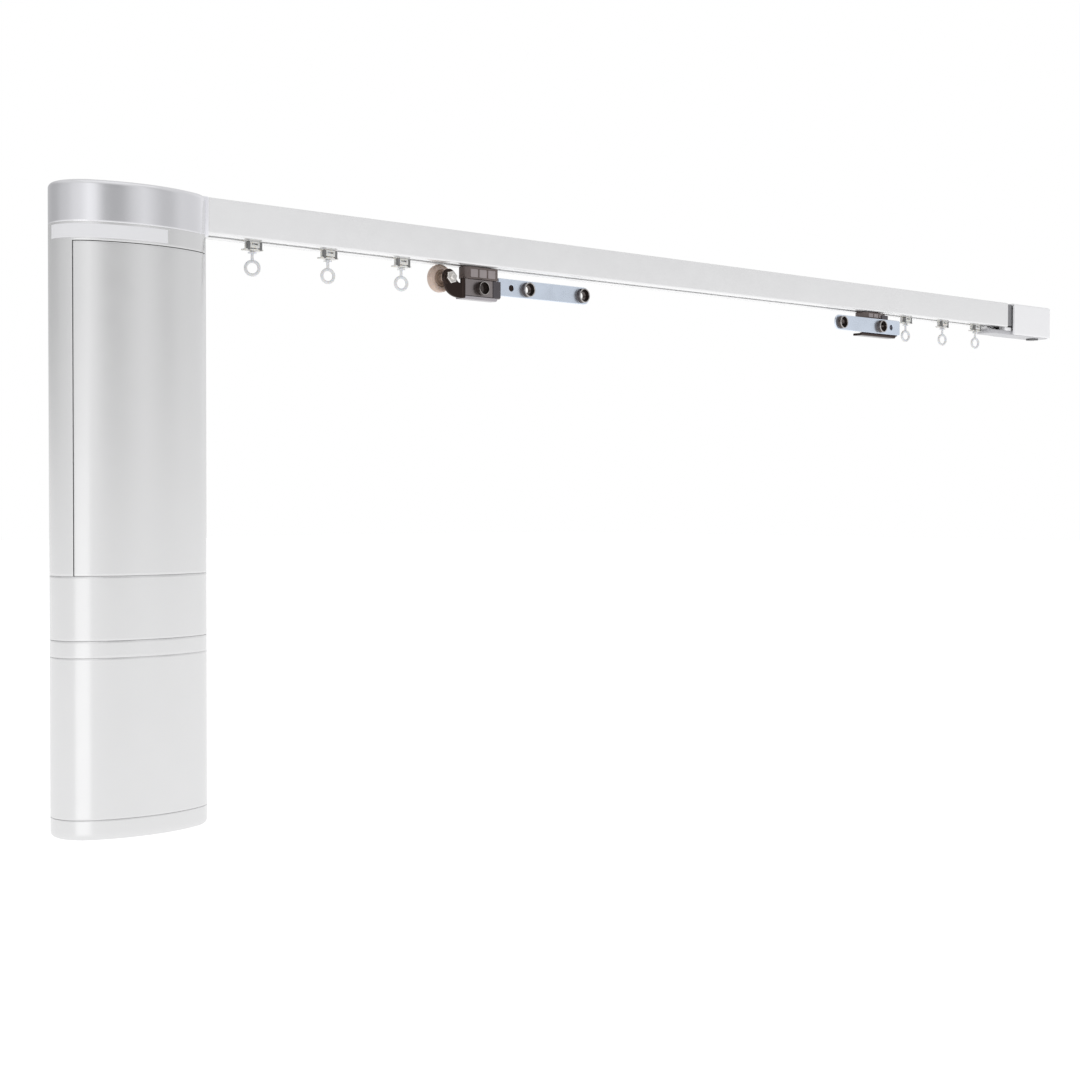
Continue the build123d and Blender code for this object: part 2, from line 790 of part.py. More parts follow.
def make_return_base():
    """Floor of the return cap, with a tongue that reaches back under the rail."""
    plate = extrude(Pos(0, 0, base_plate_bottom) * cap_outline(return_cap_wall + seat_gap, cap_start),
                    amount=return_base_thickness)
    tongue_start = rail_end - return_base_tongue
    half = return_base_width / 2
    face = Pos((tongue_start + cap_start) / 2, 0) * Rectangle(cap_start - tongue_start, 2 * half)
    corners = face.vertices().filter_by_position(Axis.X, tongue_start - seat_gap, tongue_start + seat_gap)
    tongue = extrude(Pos(0, 0, base_plate_bottom) * fillet(corners, return_base_corner),
                     amount=return_base_thickness)
    solid = plate + tongue
    solid += block(rail_end - return_cap_wall, cap_start, -half, -slot_width / 2, base_plate_top, rail_bottom)
    solid += block(rail_end - return_cap_wall, cap_start, slot_width / 2, half, base_plate_top, rail_bottom)
    pillar_top = belt_bottom - 2 * sliding_gap - pulley_flange_height
    solid += post(return_x, 0, base_plate_bottom, pillar_top, 2 * return_axle_radius)
    solid -= post(return_x, 0, base_plate_bottom - cut_overrun, pillar_top + cut_overrun,
                  return_axle_radius + seat_gap)
    return solid


def make_return_neck():
    half = rail_width / 2 - return_neck_inset
    low = rail_bottom + return_neck_inset
    solid = block(rail_end, cap_start, -half, half, low, -return_neck_inset)
    solid -= block(rail_end - cut_overrun, cap_start + cut_overrun, -chamber_half_width + free_gap,
                   chamber_half_width - free_gap, belt_bottom - free_gap, belt_top + free_gap)
    return solid


def make_return_axle():
    solid = post(return_x, 0, base_plate_bottom, -return_cap_wall - seat_gap, return_axle_radius)
    solid += post(return_x, 0, base_plate_bottom - return_axle_head_height, base_plate_bottom,
                  return_axle_head_radius)
    slot_half = return_axle_slot_width / 2
    head_bottom = base_plate_bottom - return_axle_head_height
    solid -= block(return_x - return_axle_head_radius, return_x + return_axle_head_radius,
                   -slot_half, slot_half, head_bottom, head_bottom + return_axle_slot_depth)
    return solid


# Runner levels inside the rail
wheel_level = chamber_bottom + sliding_gap + wheel_radius
runner_bottom = chamber_bottom + free_gap
runner_top = runner_bottom + runner_height


def make_runner(middle_x, belt_side):
    """The runner inside the rail; belt_side is -1 for the front run and 1 for the back run."""
    half = runner_length / 2
    half_width = runner_width / 2
    solid = block(middle_x - half, middle_x + half, -half_width, half_width, runner_bottom, runner_top)
    jaw_half = jaw_length / 2
    jaw_outer = belt_inner_radius - sliding_gap
    jaw_inner = jaw_outer - jaw_thickness
    low, high = sorted((belt_side * jaw_inner, belt_side * jaw_outer))
    solid += block(middle_x - jaw_half, middle_x + jaw_half, low, high, runner_top, belt_top)
    web_low, web_high = sorted((0, belt_side * jaw_outer))
    solid += block(middle_x - jaw_half, middle_x + jaw_half, web_low, web_high, runner_top - free_gap,
                   belt_bottom - sliding_gap)
    tooth_count = int(jaw_length / belt_pitch)
    face_low, face_high = sorted((belt_side * (jaw_outer - jaw_tooth_depth), belt_side * jaw_outer))
    for index in range(tooth_count):
        x = middle_x - jaw_half + index * belt_pitch
        solid -= block(x, x + belt_pitch * tooth_gap_share, face_low, face_high, belt_bottom, belt_top)
    for x in wheelset_places(middle_x):
        solid -= pin_y(x, wheel_level, -half_width - cut_overrun, half_width + cut_overrun,
                       wheel_axle_radius + running_gap)
    return solid


def wheelset_places(middle_x):
    return (middle_x - wheel_spacing / 2, middle_x + wheel_spacing / 2)


def make_wheelset(x):
    """Two small rail wheels on one axle."""
    inner = runner_width / 2 + sliding_gap
    outer = inner + wheel_thickness
    solid = pin_y(x, wheel_level, -outer, outer, wheel_axle_radius)
    for low, high in ((-outer, -inner), (inner, outer)):
        wheel = pin_y(x, wheel_level, low, high, wheel_radius)
        solid += chamfer(wheel.edges().filter_by(GeomType.CIRCLE), sliding_gap)
    return solid


# Levels of the hanging carrier pieces
block_top = rail_bottom - block_drop
left_block_bottom = block_top - block_height
right_block_bottom = block_top - right_block_height
left_block_end = left_block_start + left_block_length
left_middle = (left_block_start + left_block_end) / 2
right_block_end = right_block_start + right_block_length
right_middle = (right_block_start + right_block_end) / 2
left_plate_back = -left_plate_offset
arm_top = rail_bottom - arm_top_drop
arm_bottom = arm_top - arm_height
arm_middle = (arm_top + arm_bottom) / 2
screw_level = left_block_bottom - seat_gap - left_plate_height / 2


def make_block(start, length, front, back, height, bottom):
    """Clamp block under the rail, with a neck through the slot and windows in its front."""
    end = start + length
    face = Pos((start + end) / 2, (back - front) / 2) * Rectangle(length, front + back)
    corners = face.vertices().filter_by_position(Axis.X, start - seat_gap, start + seat_gap)
    face = fillet(corners, block_corner_radius)
    solid = extrude(Pos(0, 0, bottom) * face, amount=height)
    neck_half = slot_width / 2 - free_gap
    middle = (start + end) / 2
    solid += block(middle - block_neck_length / 2, middle + block_neck_length / 2, -neck_half, neck_half,
                   bottom + height, runner_bottom)
    window_zone = length - block_corner_radius - block_window_gap
    window_pitch = window_zone / block_window_count
    window_height = height * block_window_height_share
    window_low = bottom + (height - window_height) / 2
    for index in range(block_window_count):
        x_low = start + block_corner_radius + index * window_pitch
        solid -= block(x_low, x_low + window_pitch - block_window_gap, -front, -front + block_window_depth,
                       window_low, window_low + window_height)
    return solid


def make_left_block():
    solid = make_block(left_block_start, left_block_length, left_block_front, left_block_back,
                       block_height, left_block_bottom)
    stem_front = left_plate_back + arm_thickness
    solid += block(left_block_start + block_corner_radius, left_block_end, stem_front, left_block_back / 2,
                   left_block_bottom - left_plate_height, left_block_bottom)
    x = left_screw_x()
    solid -= pin_y(x, screw_level, stem_front - cut_overrun, left_block_back, plate_screw_shank_radius)
    return solid


def left_screw_x():
    return left_plate_start() + left_plate_length * screw_place_share


def left_plate_start():
    return left_block_start - left_plate_lead


def make_left_bracket():
    """Front plate with a lip folded under it and an arm curving up to the wheel axle."""
    front = left_plate_back - bracket_thickness
    start = left_plate_start()
    end = start + left_plate_length
    plate_top = left_block_bottom - seat_gap
    plate_bottom = plate_top - left_plate_height
    solid = block(start, end, front, left_plate_back, plate_bottom, plate_top)
    lip_bottom = plate_bottom - bracket_thickness
    solid += block(start, end - left_lip_radius, front, front + left_lip_depth, lip_bottom, plate_bottom)
    eye_z = rail_bottom - left_axle_drop
    eye = pin_y(left_axle_x, eye_z, front, left_plate_back, bracket_eye_radius)
    eye_left = (left_axle_x - bracket_eye_radius, eye_z)
    eye_right = (left_axle_x + bracket_eye_radius, eye_z)
    root_x = start + left_lip_radius
    low_bow = (left_axle_x - bracket_eye_radius * bracket_low_side_share,
               (eye_z + lip_bottom) / 2 - bracket_eye_radius * bracket_low_bow_share)
    high_bow = (left_axle_x + bracket_eye_radius * bracket_high_side_share,
                eye_z - bracket_eye_radius * bracket_high_drop_share)
    arm_outline = make_face([
        ThreePointArc(eye_left, low_bow, (start, lip_bottom)),
        Line((start, lip_bottom), (root_x, lip_bottom)),
        Line((root_x, lip_bottom), (root_x, plate_top)),
        Line((root_x, plate_top), (start, plate_top)),
        ThreePointArc((start, plate_top), high_bow, eye_right),
        Line(eye_right, eye_left),
    ])
    arm = extrude(Plane.XZ.offset(-left_plate_back) * arm_outline, amount=bracket_thickness)
    solid += arm + eye
    solid -= pin_y(left_axle_x, eye_z, front - cut_overrun, left_plate_back + cut_overrun,
                   support_axle_radius + seat_gap)
    solid -= pin_y(left_screw_x(), screw_level, front - cut_overrun, left_plate_back + cut_overrun,
                   plate_screw_shank_radius + seat_gap)
    return solid


def make_plate_screw():
    x = left_screw_x()
    front = left_plate_back - bracket_thickness
    head_front = front - plate_screw_head
    solid = pin_y(x, screw_level, head_front, front, plate_screw_radius)
    solid += pin_y(x, screw_level, front, left_block_back / 2, plate_screw_shank_radius - seat_gap)
    solid -= pin_y(x, screw_level, head_front - cut_overrun, head_front + plate_screw_socket_depth,
                   plate_screw_socket_radius)
    return solid


def make_support_axle():
    """Bolt, spacer and nut that carry the support wheel."""
    eye_z = rail_bottom - left_axle_drop
    front = left_plate_back - bracket_thickness
    wheel_back = support_front_offset + support_thickness
    solid = pin_y(left_axle_x, eye_z, front - nut_thickness - nut_stub, wheel_back + free_gap,
                  support_axle_radius)
    solid += pin_y(left_axle_x, eye_z, left_plate_back, support_front_offset - sliding_gap,
                   2 * support_axle_radius)
    solid += pin_y(left_axle_x, eye_z, wheel_back + sliding_gap, wheel_back + sliding_gap + bracket_thickness,
                   2 * support_axle_radius)
    nut = extrude(Plane.XZ.offset(-front) * Pos(left_axle_x, eye_z) * RegularPolygon(
        nut_across_flats / 2, nut_sides, major_radius=False), amount=nut_thickness)
    return solid + nut


def make_support_wheel():
    eye_z = rail_bottom - left_axle_drop
    back = support_front_offset + support_thickness
    wheel = pin_y(left_axle_x, eye_z, support_front_offset, back, support_radius)
    wheel = fillet(wheel.edges().filter_by(GeomType.CIRCLE), support_hub_recess)
    wheel -= pin_y(left_axle_x, eye_z, support_front_offset - cut_overrun,
                   support_front_offset + support_hub_recess, support_hub_radius)
    wheel -= pin_y(left_axle_x, eye_z, support_front_offset - cut_overrun, back + cut_overrun,
                   support_axle_radius + running_gap)
    return wheel


def make_arm(root_x, direction, front_y, tab_length):
    """Flat overlap arm: root_x is where it leaves its bracket, direction is 1 or -1 along X."""
    tip = root_x + direction * arm_reach
    low, high = sorted((root_x, tip))
    face = Pos((low + high) / 2, arm_middle) * Rectangle(high - low, arm_height)
    corners = face.vertices().filter_by_position(Axis.X, tip - seat_gap, tip + seat_gap)
    face = fillet(corners, arm_tip_radius)
    if tab_length > 0:
        tab_low, tab_high = sorted((root_x - direction * tab_length, root_x))
        tab_top = left_block_bottom - sliding_gap
        face += Pos((tab_low + tab_high) / 2, (tab_top + arm_bottom) / 2) * Rectangle(
            tab_high - tab_low, tab_top - arm_bottom)
    hole_x = root_x + direction * arm_hole_offset
    face -= Pos(hole_x, arm_middle) * Circle(arm_hole_radius)
    for x in rivet_places(root_x, direction):
        face -= Pos(x, arm_middle) * Circle(rivet_bore_radius + seat_gap)
    if tab_length > 0:
        face -= Pos(left_screw_x(), screw_level) * Circle(plate_screw_shank_radius + seat_gap)
    return extrude(Plane.XZ.offset(-front_y - arm_thickness) * face, amount=arm_thickness)


def rivet_places(root_x, direction):
    first = root_x + direction * rivet_offset
    return (first, first + direction * rivet_spacing)


def make_rivets(root_x, direction, front_y):
    """Two hollow rivets that stand out of the arm towards the room."""
    rivets = []
    back = front_y + arm_thickness
    for x in rivet_places(root_x, direction):
        tube = pin_y(x, arm_middle, front_y - rivet_length, front_y, rivet_outer_radius)
        tube += pin_y(x, arm_middle, front_y, back, rivet_bore_radius)
        tube += pin_y(x, arm_middle, back, back + rivet_flange_thickness, rivet_flange_radius)
        rim = tube.edges().filter_by(GeomType.CIRCLE).sort_by(Axis.Y)[0]
        tube = fillet(rim, rivet_rim)
        bore = rivet_bore_radius - 2 * rivet_rim
        tube -= pin_y(x, arm_middle, front_y - rivet_length - cut_overrun,
                      back + rivet_flange_thickness + cut_overrun, bore)
        tube -= pin_y(x, arm_middle, front_y - rivet_length - cut_overrun,
                      front_y - rivet_length + rivet_cup_depth, rivet_cup_radius)
        rivets.append(tube)
    return Compound(children=rivets)


left_arm_front = left_plate_back
left_arm_root = left_plate_start() + left_plate_length
right_arm_back = -right_block_front - bracket_thickness
right_arm_front = right_arm_back - arm_thickness
right_arm_root = right_block_end + right_root_overhang


def make_right_bracket():
    """Plate under the front of the right block, with a tab up to it and its foot folded under."""
    front = right_arm_back
    back = -right_block_front
    start = right_block_start - right_plate_lead
    end = right_block_end + right_plate_overhang
    low = block_top - right_plate_height
    plate_top = right_block_bottom - seat_gap
    solid = block(start, end, front, back, low, plate_top)
    solid += block(right_block_end - right_tab_length, right_block_end + right_tab_overhang, front, back,
                   plate_top, plate_top + right_tab_rise)
    solid += block(start - bracket_thickness, end - left_lip_radius, front, front + right_lip_depth,
                   low - bracket_thickness, low)
    for x in rivet_places(right_arm_root, -1):
        solid -= pin_y(x, arm_middle, front - cut_overrun, back + cut_overrun,
                       rivet_flange_radius + seat_gap)
    return solid


# Glider levels
shoe_bottom = chamber_bottom + sliding_gap
glider_body_top = rail_bottom - glider_drop
glider_body_bottom = glider_body_top - glider_body_height


def make_glider(x):
    solid = block(x - glider_shoe_length / 2, x + glider_shoe_length / 2, -glider_shoe_width / 2,
                  glider_shoe_width / 2, shoe_bottom, shoe_bottom + glider_shoe_thickness)
    solid += block(x - glider_neck_length / 2, x + glider_neck_length / 2, -glider_neck_width / 2,
                   glider_neck_width / 2, glider_body_top, shoe_bottom)
    half = glider_body_length / 2
    half_width = glider_body_width / 2
    solid += block(x - half, x + half, -half_width, half_width, glider_body_bottom, glider_body_top)
    ear_low = glider_body_top - glider_ear_height
    for side in (-1, 1):
        inner = x + side * half
        outer = x + side * (half + glider_ear_thickness)
        low, high = min(inner, outer), max(inner, outer)
        solid += block(low, high, -half_width, half_width, ear_low, glider_body_top)
        flare = x + side * (half + glider_ear_thickness + glider_ear_flare)
        low, high = min(inner, flare), max(inner, flare)
        solid += block(low, high, -half_width, half_width, ear_low, ear_low + glider_ear_thickness / 2)
    pocket = post(x, 0, glider_body_bottom + glider_body_height / 2, shoe_bottom + glider_shoe_thickness
                  + cut_overrun, eyelet_head_radius + sliding_gap)
    bore = post(x, 0, glider_body_bottom - cut_overrun, glider_body_top, eyelet_stem_radius + running_gap)
    return solid - pocket - bore


def make_eyelet(x, turn):
    """Swivelling ring: head, stem, small flange and ring; turn is its angle as photographed."""
    ring_z = rail_bottom - eyelet_ring_drop
    head_low = glider_body_bottom + glider_body_height / 2 + sliding_gap
    flange_low = rail_bottom - eyelet_flange_drop
    stem_low = ring_z + eyelet_ring_radius
    solid = post(x, 0, stem_low, head_low + eyelet_head_height, eyelet_stem_radius)
    solid += post(x, 0, head_low, head_low + eyelet_head_height, eyelet_head_radius)
    solid += post(x, 0, flange_low - eyelet_flange_height, flange_low, eyelet_flange_radius)
    ring = Rot(90, 0, 0) * Torus(eyelet_ring_radius, eyelet_wire_radius)
    return solid + Pos(x, 0, ring_z) * Rot(0, 0, turn) * ring


def make_screws():
    """Screws that join the shell roof and the chassis to the housing floor."""
    screws = []
    floor_top = housing_bottom + housing_floor_thickness
    for x, y in screw_places():
        head = post(x, y, floor_top, floor_top + screw_head_height, screw_head_radius)
        slot_half = screw_slot_width / 2
        head_top = floor_top + screw_head_height
        head -= block(x - screw_head_radius, x + screw_head_radius, y - slot_half, y + slot_half,
                      head_top - screw_slot_depth, head_top)
        shank = post(x, y, floor_top - screw_length, floor_top, screw_shank_radius - seat_gap)
        screws.append(head + shank)
    return Compound(children=screws)


pulley_hub_low = housing_bottom + housing_floor_thickness + bearing_height + sliding_gap

parts = {
    "track_rail": make_rail(),
    "track_collar": make_collar(),
    "drive_belt": make_belt(),
    "pulley_housing": make_housing(),
    "housing_floor": make_housing_floor(),
    "shaft_bearings": make_bearings(),
    "floor_screws": make_screws(),
    "drive_pulley": make_pulley(0, shaft_radius + seat_gap, pulley_hub_low, belt_top),
    "drive_shaft": make_drive_shaft(),
    "motor_shell": make_shell(),
    "front_panel": make_front_panel(),
    "motor_chassis": make_chassis(),
    "gearbox": make_gearbox(),
    "motor_can": make_motor_can(),
    "control_board": make_control_board(),
    "program_button": make_program_button(),
    "collar_band": make_collar_band(),
    "socket_block": make_socket_block(),
    "latch_band": make_latch_band(),
    "battery_latch": make_latch(),
    "battery_case": make_battery_case(),
    "battery_base": make_battery_base(),
    "battery_cells": make_cells(),
    "battery_board": make_battery_board(),
    "battery_contacts": make_battery_contacts(),
    "charge_pin": make_jack_pin(),
    "return_cap": make_return_cap(),
    "return_base": make_return_base(),
    "return_neck": make_return_neck(),
    "return_axle": make_return_axle(),
    "return_pulley": make_pulley(return_x, return_axle_radius + running_gap, belt_bottom, belt_top),
    "left_runner": make_runner(left_middle, -1),
    "left_clamp_block": make_left_block(),
    "left_bracket": make_left_bracket(),
    "left_plate_screw": make_plate_screw(),
    "left_overlap_arm": make_arm(left_arm_root, 1, left_arm_front, arm_tab),
    "left_rivets": make_rivets(left_arm_root, 1, left_arm_front),
    "left_wheel_axle": make_support_axle(),
    "left_support_wheel": make_support_wheel(),
    "right_runner": make_runner(right_middle, 1),
    "right_clamp_block": make_block(right_block_start, right_block_length, right_block_front,
                                    right_block_back, right_block_height, right_block_bottom),
    "right_bracket": make_right_bracket(),
    "right_overlap_arm": make_arm(right_arm_root, -1, right_arm_front, 0),
    "right_rivets": make_rivets(right_arm_root, -1, right_arm_front),
}

for side, middle in (("left", left_middle), ("right", right_middle)):
    for name, x in zip(("inner", "outer"), wheelset_places(middle)):
        parts[f"{side}_{name}_wheels"] = make_wheelset(x)

for index, (x, turn) in enumerate(zip(glider_places, glider_turns), start=1):
    parts[f"glider_{index}"] = make_glider(x)
    parts[f"eyelet_{index}"] = make_eyelet(x, turn)

for name, shape in parts.items():
    export_step(shape, f"parts/{name}.step")
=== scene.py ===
import json
import math

import bmesh
import bpy
from mathutils import Matrix, Vector


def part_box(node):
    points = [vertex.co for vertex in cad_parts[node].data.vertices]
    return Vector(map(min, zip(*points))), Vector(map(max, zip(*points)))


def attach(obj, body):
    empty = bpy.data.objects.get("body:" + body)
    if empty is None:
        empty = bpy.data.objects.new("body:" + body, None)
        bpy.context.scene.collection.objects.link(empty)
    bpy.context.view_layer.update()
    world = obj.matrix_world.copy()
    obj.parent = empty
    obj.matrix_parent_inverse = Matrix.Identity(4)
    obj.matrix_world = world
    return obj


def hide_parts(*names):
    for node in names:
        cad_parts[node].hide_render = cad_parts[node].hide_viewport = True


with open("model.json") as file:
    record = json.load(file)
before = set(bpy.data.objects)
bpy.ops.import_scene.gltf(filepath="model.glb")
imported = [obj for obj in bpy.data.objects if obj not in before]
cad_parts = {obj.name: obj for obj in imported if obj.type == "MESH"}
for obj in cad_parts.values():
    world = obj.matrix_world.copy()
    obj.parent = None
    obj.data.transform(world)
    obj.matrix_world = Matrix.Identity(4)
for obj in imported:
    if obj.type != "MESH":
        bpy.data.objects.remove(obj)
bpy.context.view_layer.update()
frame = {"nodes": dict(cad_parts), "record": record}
nodes = frame["nodes"]

MM = 0.001


# Finishes

def new_material(name):
    material = bpy.data.materials.new(name)
    material.use_nodes = True
    tree = material.node_tree
    shader = tree.nodes["Principled BSDF"]
    return material, tree, shader


def set_inputs(node, values):
    for name, value in values.items():
        node.inputs[name].default_value = value


def place_node(tree, kind, **values):
    node = tree.nodes.new(kind)
    set_inputs(node, values)
    return node


def link(tree, *rows):
    """Links sockets by (node, output, node, input) rows."""
    for source, output, target, socket in rows:
        tree.links.new(source.outputs[output], target.inputs[socket])


def noise(tree, coordinates, scale, detail, stretch=None):
    """Noise on the piece's own coordinates, with an optional stretch along each axis."""
    source = coordinates
    if stretch is not None:
        mapping = place_node(tree, "ShaderNodeMapping", Scale=stretch)
        tree.links.new(coordinates, mapping.inputs["Vector"])
        source = mapping.outputs["Vector"]
    texture = place_node(tree, "ShaderNodeTexNoise", Scale=scale, Detail=detail)
    tree.links.new(source, texture.inputs["Vector"])
    return texture.outputs["Fac"]


def ramp(tree, value, stops):
    node = tree.nodes.new("ShaderNodeValToRGB")
    points = node.color_ramp.elements
    while len(points) > 1:
        points.remove(points[-1])
    points[0].position = stops[0][0]
    points[0].color = (*stops[0][1], 1.0)
    for place, color in stops[1:]:
        point = points.new(place)
        point.color = (*color, 1.0)
    tree.links.new(value, node.inputs["Fac"])
    return node.outputs["Color"]


def mapped(tree, value, from_low, from_high, to_low=0.0, to_high=1.0, smooth=False):
    """Maps one range of a value onto another."""
    node = place_node(tree, "ShaderNodeMapRange", **{
        "From Min": from_low, "From Max": from_high, "To Min": to_low, "To Max": to_high})
    node.interpolation_type = "SMOOTHSTEP" if smooth else "LINEAR"
    tree.links.new(value, node.inputs["Value"])
    return node.outputs["Result"]


def mixed(tree, factor, first, second):
    """Goes from the first colour to the second, each a grey level or a link."""
    node = tree.nodes.new("ShaderNodeMix")
    node.data_type = "RGBA"
    tree.links.new(factor, node.inputs["Factor"])
    for name, color in (("A", first), ("B", second)):
        if isinstance(color, float):
            node.inputs[name].default_value = (color, color, color, 1.0)
        else:
            tree.links.new(color, node.inputs[name])
    return node.outputs["Result"]


def tint(color, factor):
    return tuple(min(1.0, channel * factor) for channel in color)


patch_scale = 40.0
patch_low, patch_high = 0.3, 0.7
smoothest = 0.02


def surface(name, color, roughness, metallic, grain, grain_depth, vary, stretch=None,
            roughness_vary=0.04, subsurface=0.0):
    """A finish with uneven colour and gloss and a fine grain in its relief."""
    material, tree, shader = new_material(name)
    coordinates = tree.nodes.new("ShaderNodeTexCoord").outputs["Object"]
    mottled = noise(tree, coordinates, patch_scale, 4.0, stretch)
    colors = [(patch_low, tint(color, 1.0 - 2.0 * vary)), (patch_high, tint(color, 1.0 + vary))]
    tree.links.new(ramp(tree, mottled, colors), shader.inputs["Base Color"])
    gloss = noise(tree, coordinates, patch_scale * 3.0, 2.0, stretch)
    rough = mapped(tree, gloss, patch_low, patch_high, max(smoothest, roughness - roughness_vary),
                   roughness + roughness_vary)
    tree.links.new(rough, shader.inputs["Roughness"])
    fine = noise(tree, coordinates, grain, 2.0, stretch)
    bump = place_node(tree, "ShaderNodeBump", Strength=1.0, Distance=grain_depth)
    tree.links.new(fine, bump.inputs["Height"])
    tree.links.new(bump.outputs["Normal"], shader.inputs["Normal"])
    set_inputs(shader, {"Metallic": metallic})
    if subsurface:
        set_inputs(shader, {"Subsurface Weight": subsurface, "Subsurface Scale": 1.0,
                            "Subsurface Radius": (0.002, 0.0015, 0.001)})
    return material


# Each row: name, colour, roughness, metallic, grain, depth of the grain in metres, unevenness
finish_rows = {
    "silver_housing": ("satin_silver_lacquer", (0.84, 0.84, 0.865), 0.17, 1.0, 2500, 4e-7, 0.006),
    "collar_metal": ("bright_satin_collar", (0.93, 0.93, 0.97), 0.30, 0.7, 2500, 6e-7, 0.01),
    "rail_white": ("white_powder_coat", (0.88, 0.88, 0.885), 0.22, 0.35, 1600, 1e-6, 0.006),
    "column_white": ("pearl_white_moulding", (0.765, 0.765, 0.768), 0.25, 0.78, 2200, 4e-7, 0.004),
    "cap_white": ("white_cap_moulding", (0.92, 0.92, 0.935), 0.30, 0.0, 1200, 4e-7, 0.002),
    # The neck's dark grey is painted shade for the shadow in the gap between the rail end and the
    # cap
    "neck_grey": ("neck_painted_shade", (0.24, 0.24, 0.25), 0.42, 0.0, 900, 2e-5, 0.05),
    "dark_nickel": ("black_nickel_plate", (0.30, 0.27, 0.27), 0.27, 1.0, 700, 1e-5, 0.06),
    "block_brown": ("brown_grey_moulding", (0.135, 0.105, 0.098), 0.38, 0.0, 800, 2e-5, 0.08),
    "zinc_blue": ("blue_zinc_plate", (0.76, 0.84, 0.96), 0.28, 1.0, 900, 3e-6, 0.03),
    "bright_nickel": ("bright_nickel_plate", (0.80, 0.78, 0.75), 0.12, 1.0, 600, 4e-6, 0.03),
    "wheel_beige": ("beige_nylon", (0.60, 0.47, 0.40), 0.42, 0.0, 500, 2e-5, 0.05),
    "glider_white": ("white_acetal", (0.74, 0.73, 0.70), 0.38, 0.0, 700, 1e-5, 0.04),
    "eyelet_white": ("white_acetal_ring", (0.72, 0.73, 0.745), 0.32, 0.0, 700, 1e-5, 0.03),
    "runner_black": ("black_nylon", (0.02, 0.02, 0.02), 0.45, 0.0, 700, 2e-5, 0.1),
    "belt_black": ("black_belt_rubber", (0.012, 0.012, 0.012), 0.65, 0.0, 1500, 4e-5, 0.1),
    "bearing_brass": ("sintered_bronze", (0.55, 0.36, 0.15), 0.35, 1.0, 1500, 2e-5, 0.08),
    "steel": ("plain_steel", (0.48, 0.48, 0.49), 0.32, 1.0, 1200, 1e-5, 0.05),
    "board_green": ("lacquered_board", (0.012, 0.10, 0.035), 0.3, 0.0, 800, 1e-5, 0.1),
    "strip_film": ("bare_film", (0.80, 0.80, 0.82), 0.42, 0.0, 900, 2e-6, 0.01),
    # Dark copy of the glider's white acetal: painted shade for the glider's shaded sides
    "glider_ear_grey": ("acetal_ear_painted_shade", (0.17, 0.17, 0.17), 0.36, 0.0, 700, 1e-5, 0.06),
    "block_window": ("grey_brown_window", (0.33, 0.29, 0.29), 0.34, 0.1, 800, 1e-5, 0.06),
    # Darker copy of the bracket's nickel: painted shadow
    "bracket_shadow": ("black_nickel_painted_shadow", (0.13, 0.12, 0.13), 0.26, 1.0, 700, 8e-6, 0.06),
    # Lighter copy of the bracket's nickel: painted highlight on the folded lip
    "bracket_lip": ("nickel_lip_painted_highlight", (0.38, 0.36, 0.38), 0.24, 1.0, 700, 8e-6, 0.06),
    # Near-black brown copy of the bracket's nickel; on the left bracket's curved arm and bend and
    # on the right bracket's fold it is painted shade
    "bracket_brown": ("black_nickel_painted_shade", (0.05, 0.036, 0.032), 0.16, 1.0, 500, 1e-5, 0.1),
    "rivet_dark": ("black_nickel_barrel", (0.11, 0.095, 0.09), 0.16, 1.0, 600, 6e-6, 0.08),
    "wheel_hub": ("brown_nylon_hub", (0.36, 0.25, 0.19), 0.36, 0.0, 500, 1e-5, 0.06),
    "base_grey": ("grey_base_moulding", (0.50, 0.50, 0.52), 0.34, 0.0, 1200, 6e-6, 0.02),
    "axle_grey": ("dark_axle_head", (0.17, 0.17, 0.175), 0.30, 0.8, 900, 6e-6, 0.05),
    # Lighter copy of the rivets' nickel: painted highlight on the rivet rims and on the screw's
    # glint ring
    "rim_nickel": ("nickel_rim_painted_highlight", (0.46, 0.44, 0.43), 0.14, 1.0, 600, 4e-6, 0.05),
    "cell_wrap": ("shrink_wrap_blue", (0.04, 0.16, 0.28), 0.3, 0.0, 300, 1e-5, 0.06),
}
even_gloss = {"roughness_vary": 0.01}
finish_extras = {
    "silver_housing": even_gloss, "column_white": even_gloss, "cap_white": even_gloss,
    "wheel_beige": {"subsurface": 0.2}, "glider_white": {"subsurface": 0.15},
    "eyelet_white": {"subsurface": 0.2},
    "steel": {"stretch": (1, 1, 12)},
}
finishes = {slot: surface(*row, **finish_extras.get(slot, {}))
            for slot, row in finish_rows.items()}

slot_of = {row["node"]: row["material_slot"] for row in frame["record"]["subparts"]}
for node_name, node in nodes.items():
    node.data.materials.clear()
    node.data.materials.append(finishes[slot_of[node_name]])


# Making the pieces, in millimetres

def new_piece(name, data):
    piece = bpy.data.objects.new(name, data)
    bpy.context.scene.collection.objects.link(piece)
    return piece


def baked(piece):
    """The plain mesh that a piece's modifiers give; the piece itself is taken away."""
    graph = bpy.context.evaluated_depsgraph_get()
    mesh = bpy.data.meshes.new_from_object(piece.evaluated_get(graph), depsgraph=graph)
    bpy.data.objects.remove(piece)
    return mesh


merge_distance = 0.0005


def cleaned(form, sharp=30.0):
    """Closes a form's seams, turns its faces outwards and keeps only its real edges sharp."""
    bmesh.ops.remove_doubles(form, verts=form.verts, dist=merge_distance)
    loose = [vertex for vertex in form.verts if not vertex.link_faces]
    bmesh.ops.delete(form, geom=loose, context="VERTS")
    bmesh.ops.recalc_face_normals(form, faces=form.faces)
    mesh = bpy.data.meshes.new("form")
    form.to_mesh(mesh)
    form.free()
    mesh.shade_smooth()
    mesh.set_sharp_from_angle(angle=math.radians(sharp))
    return mesh


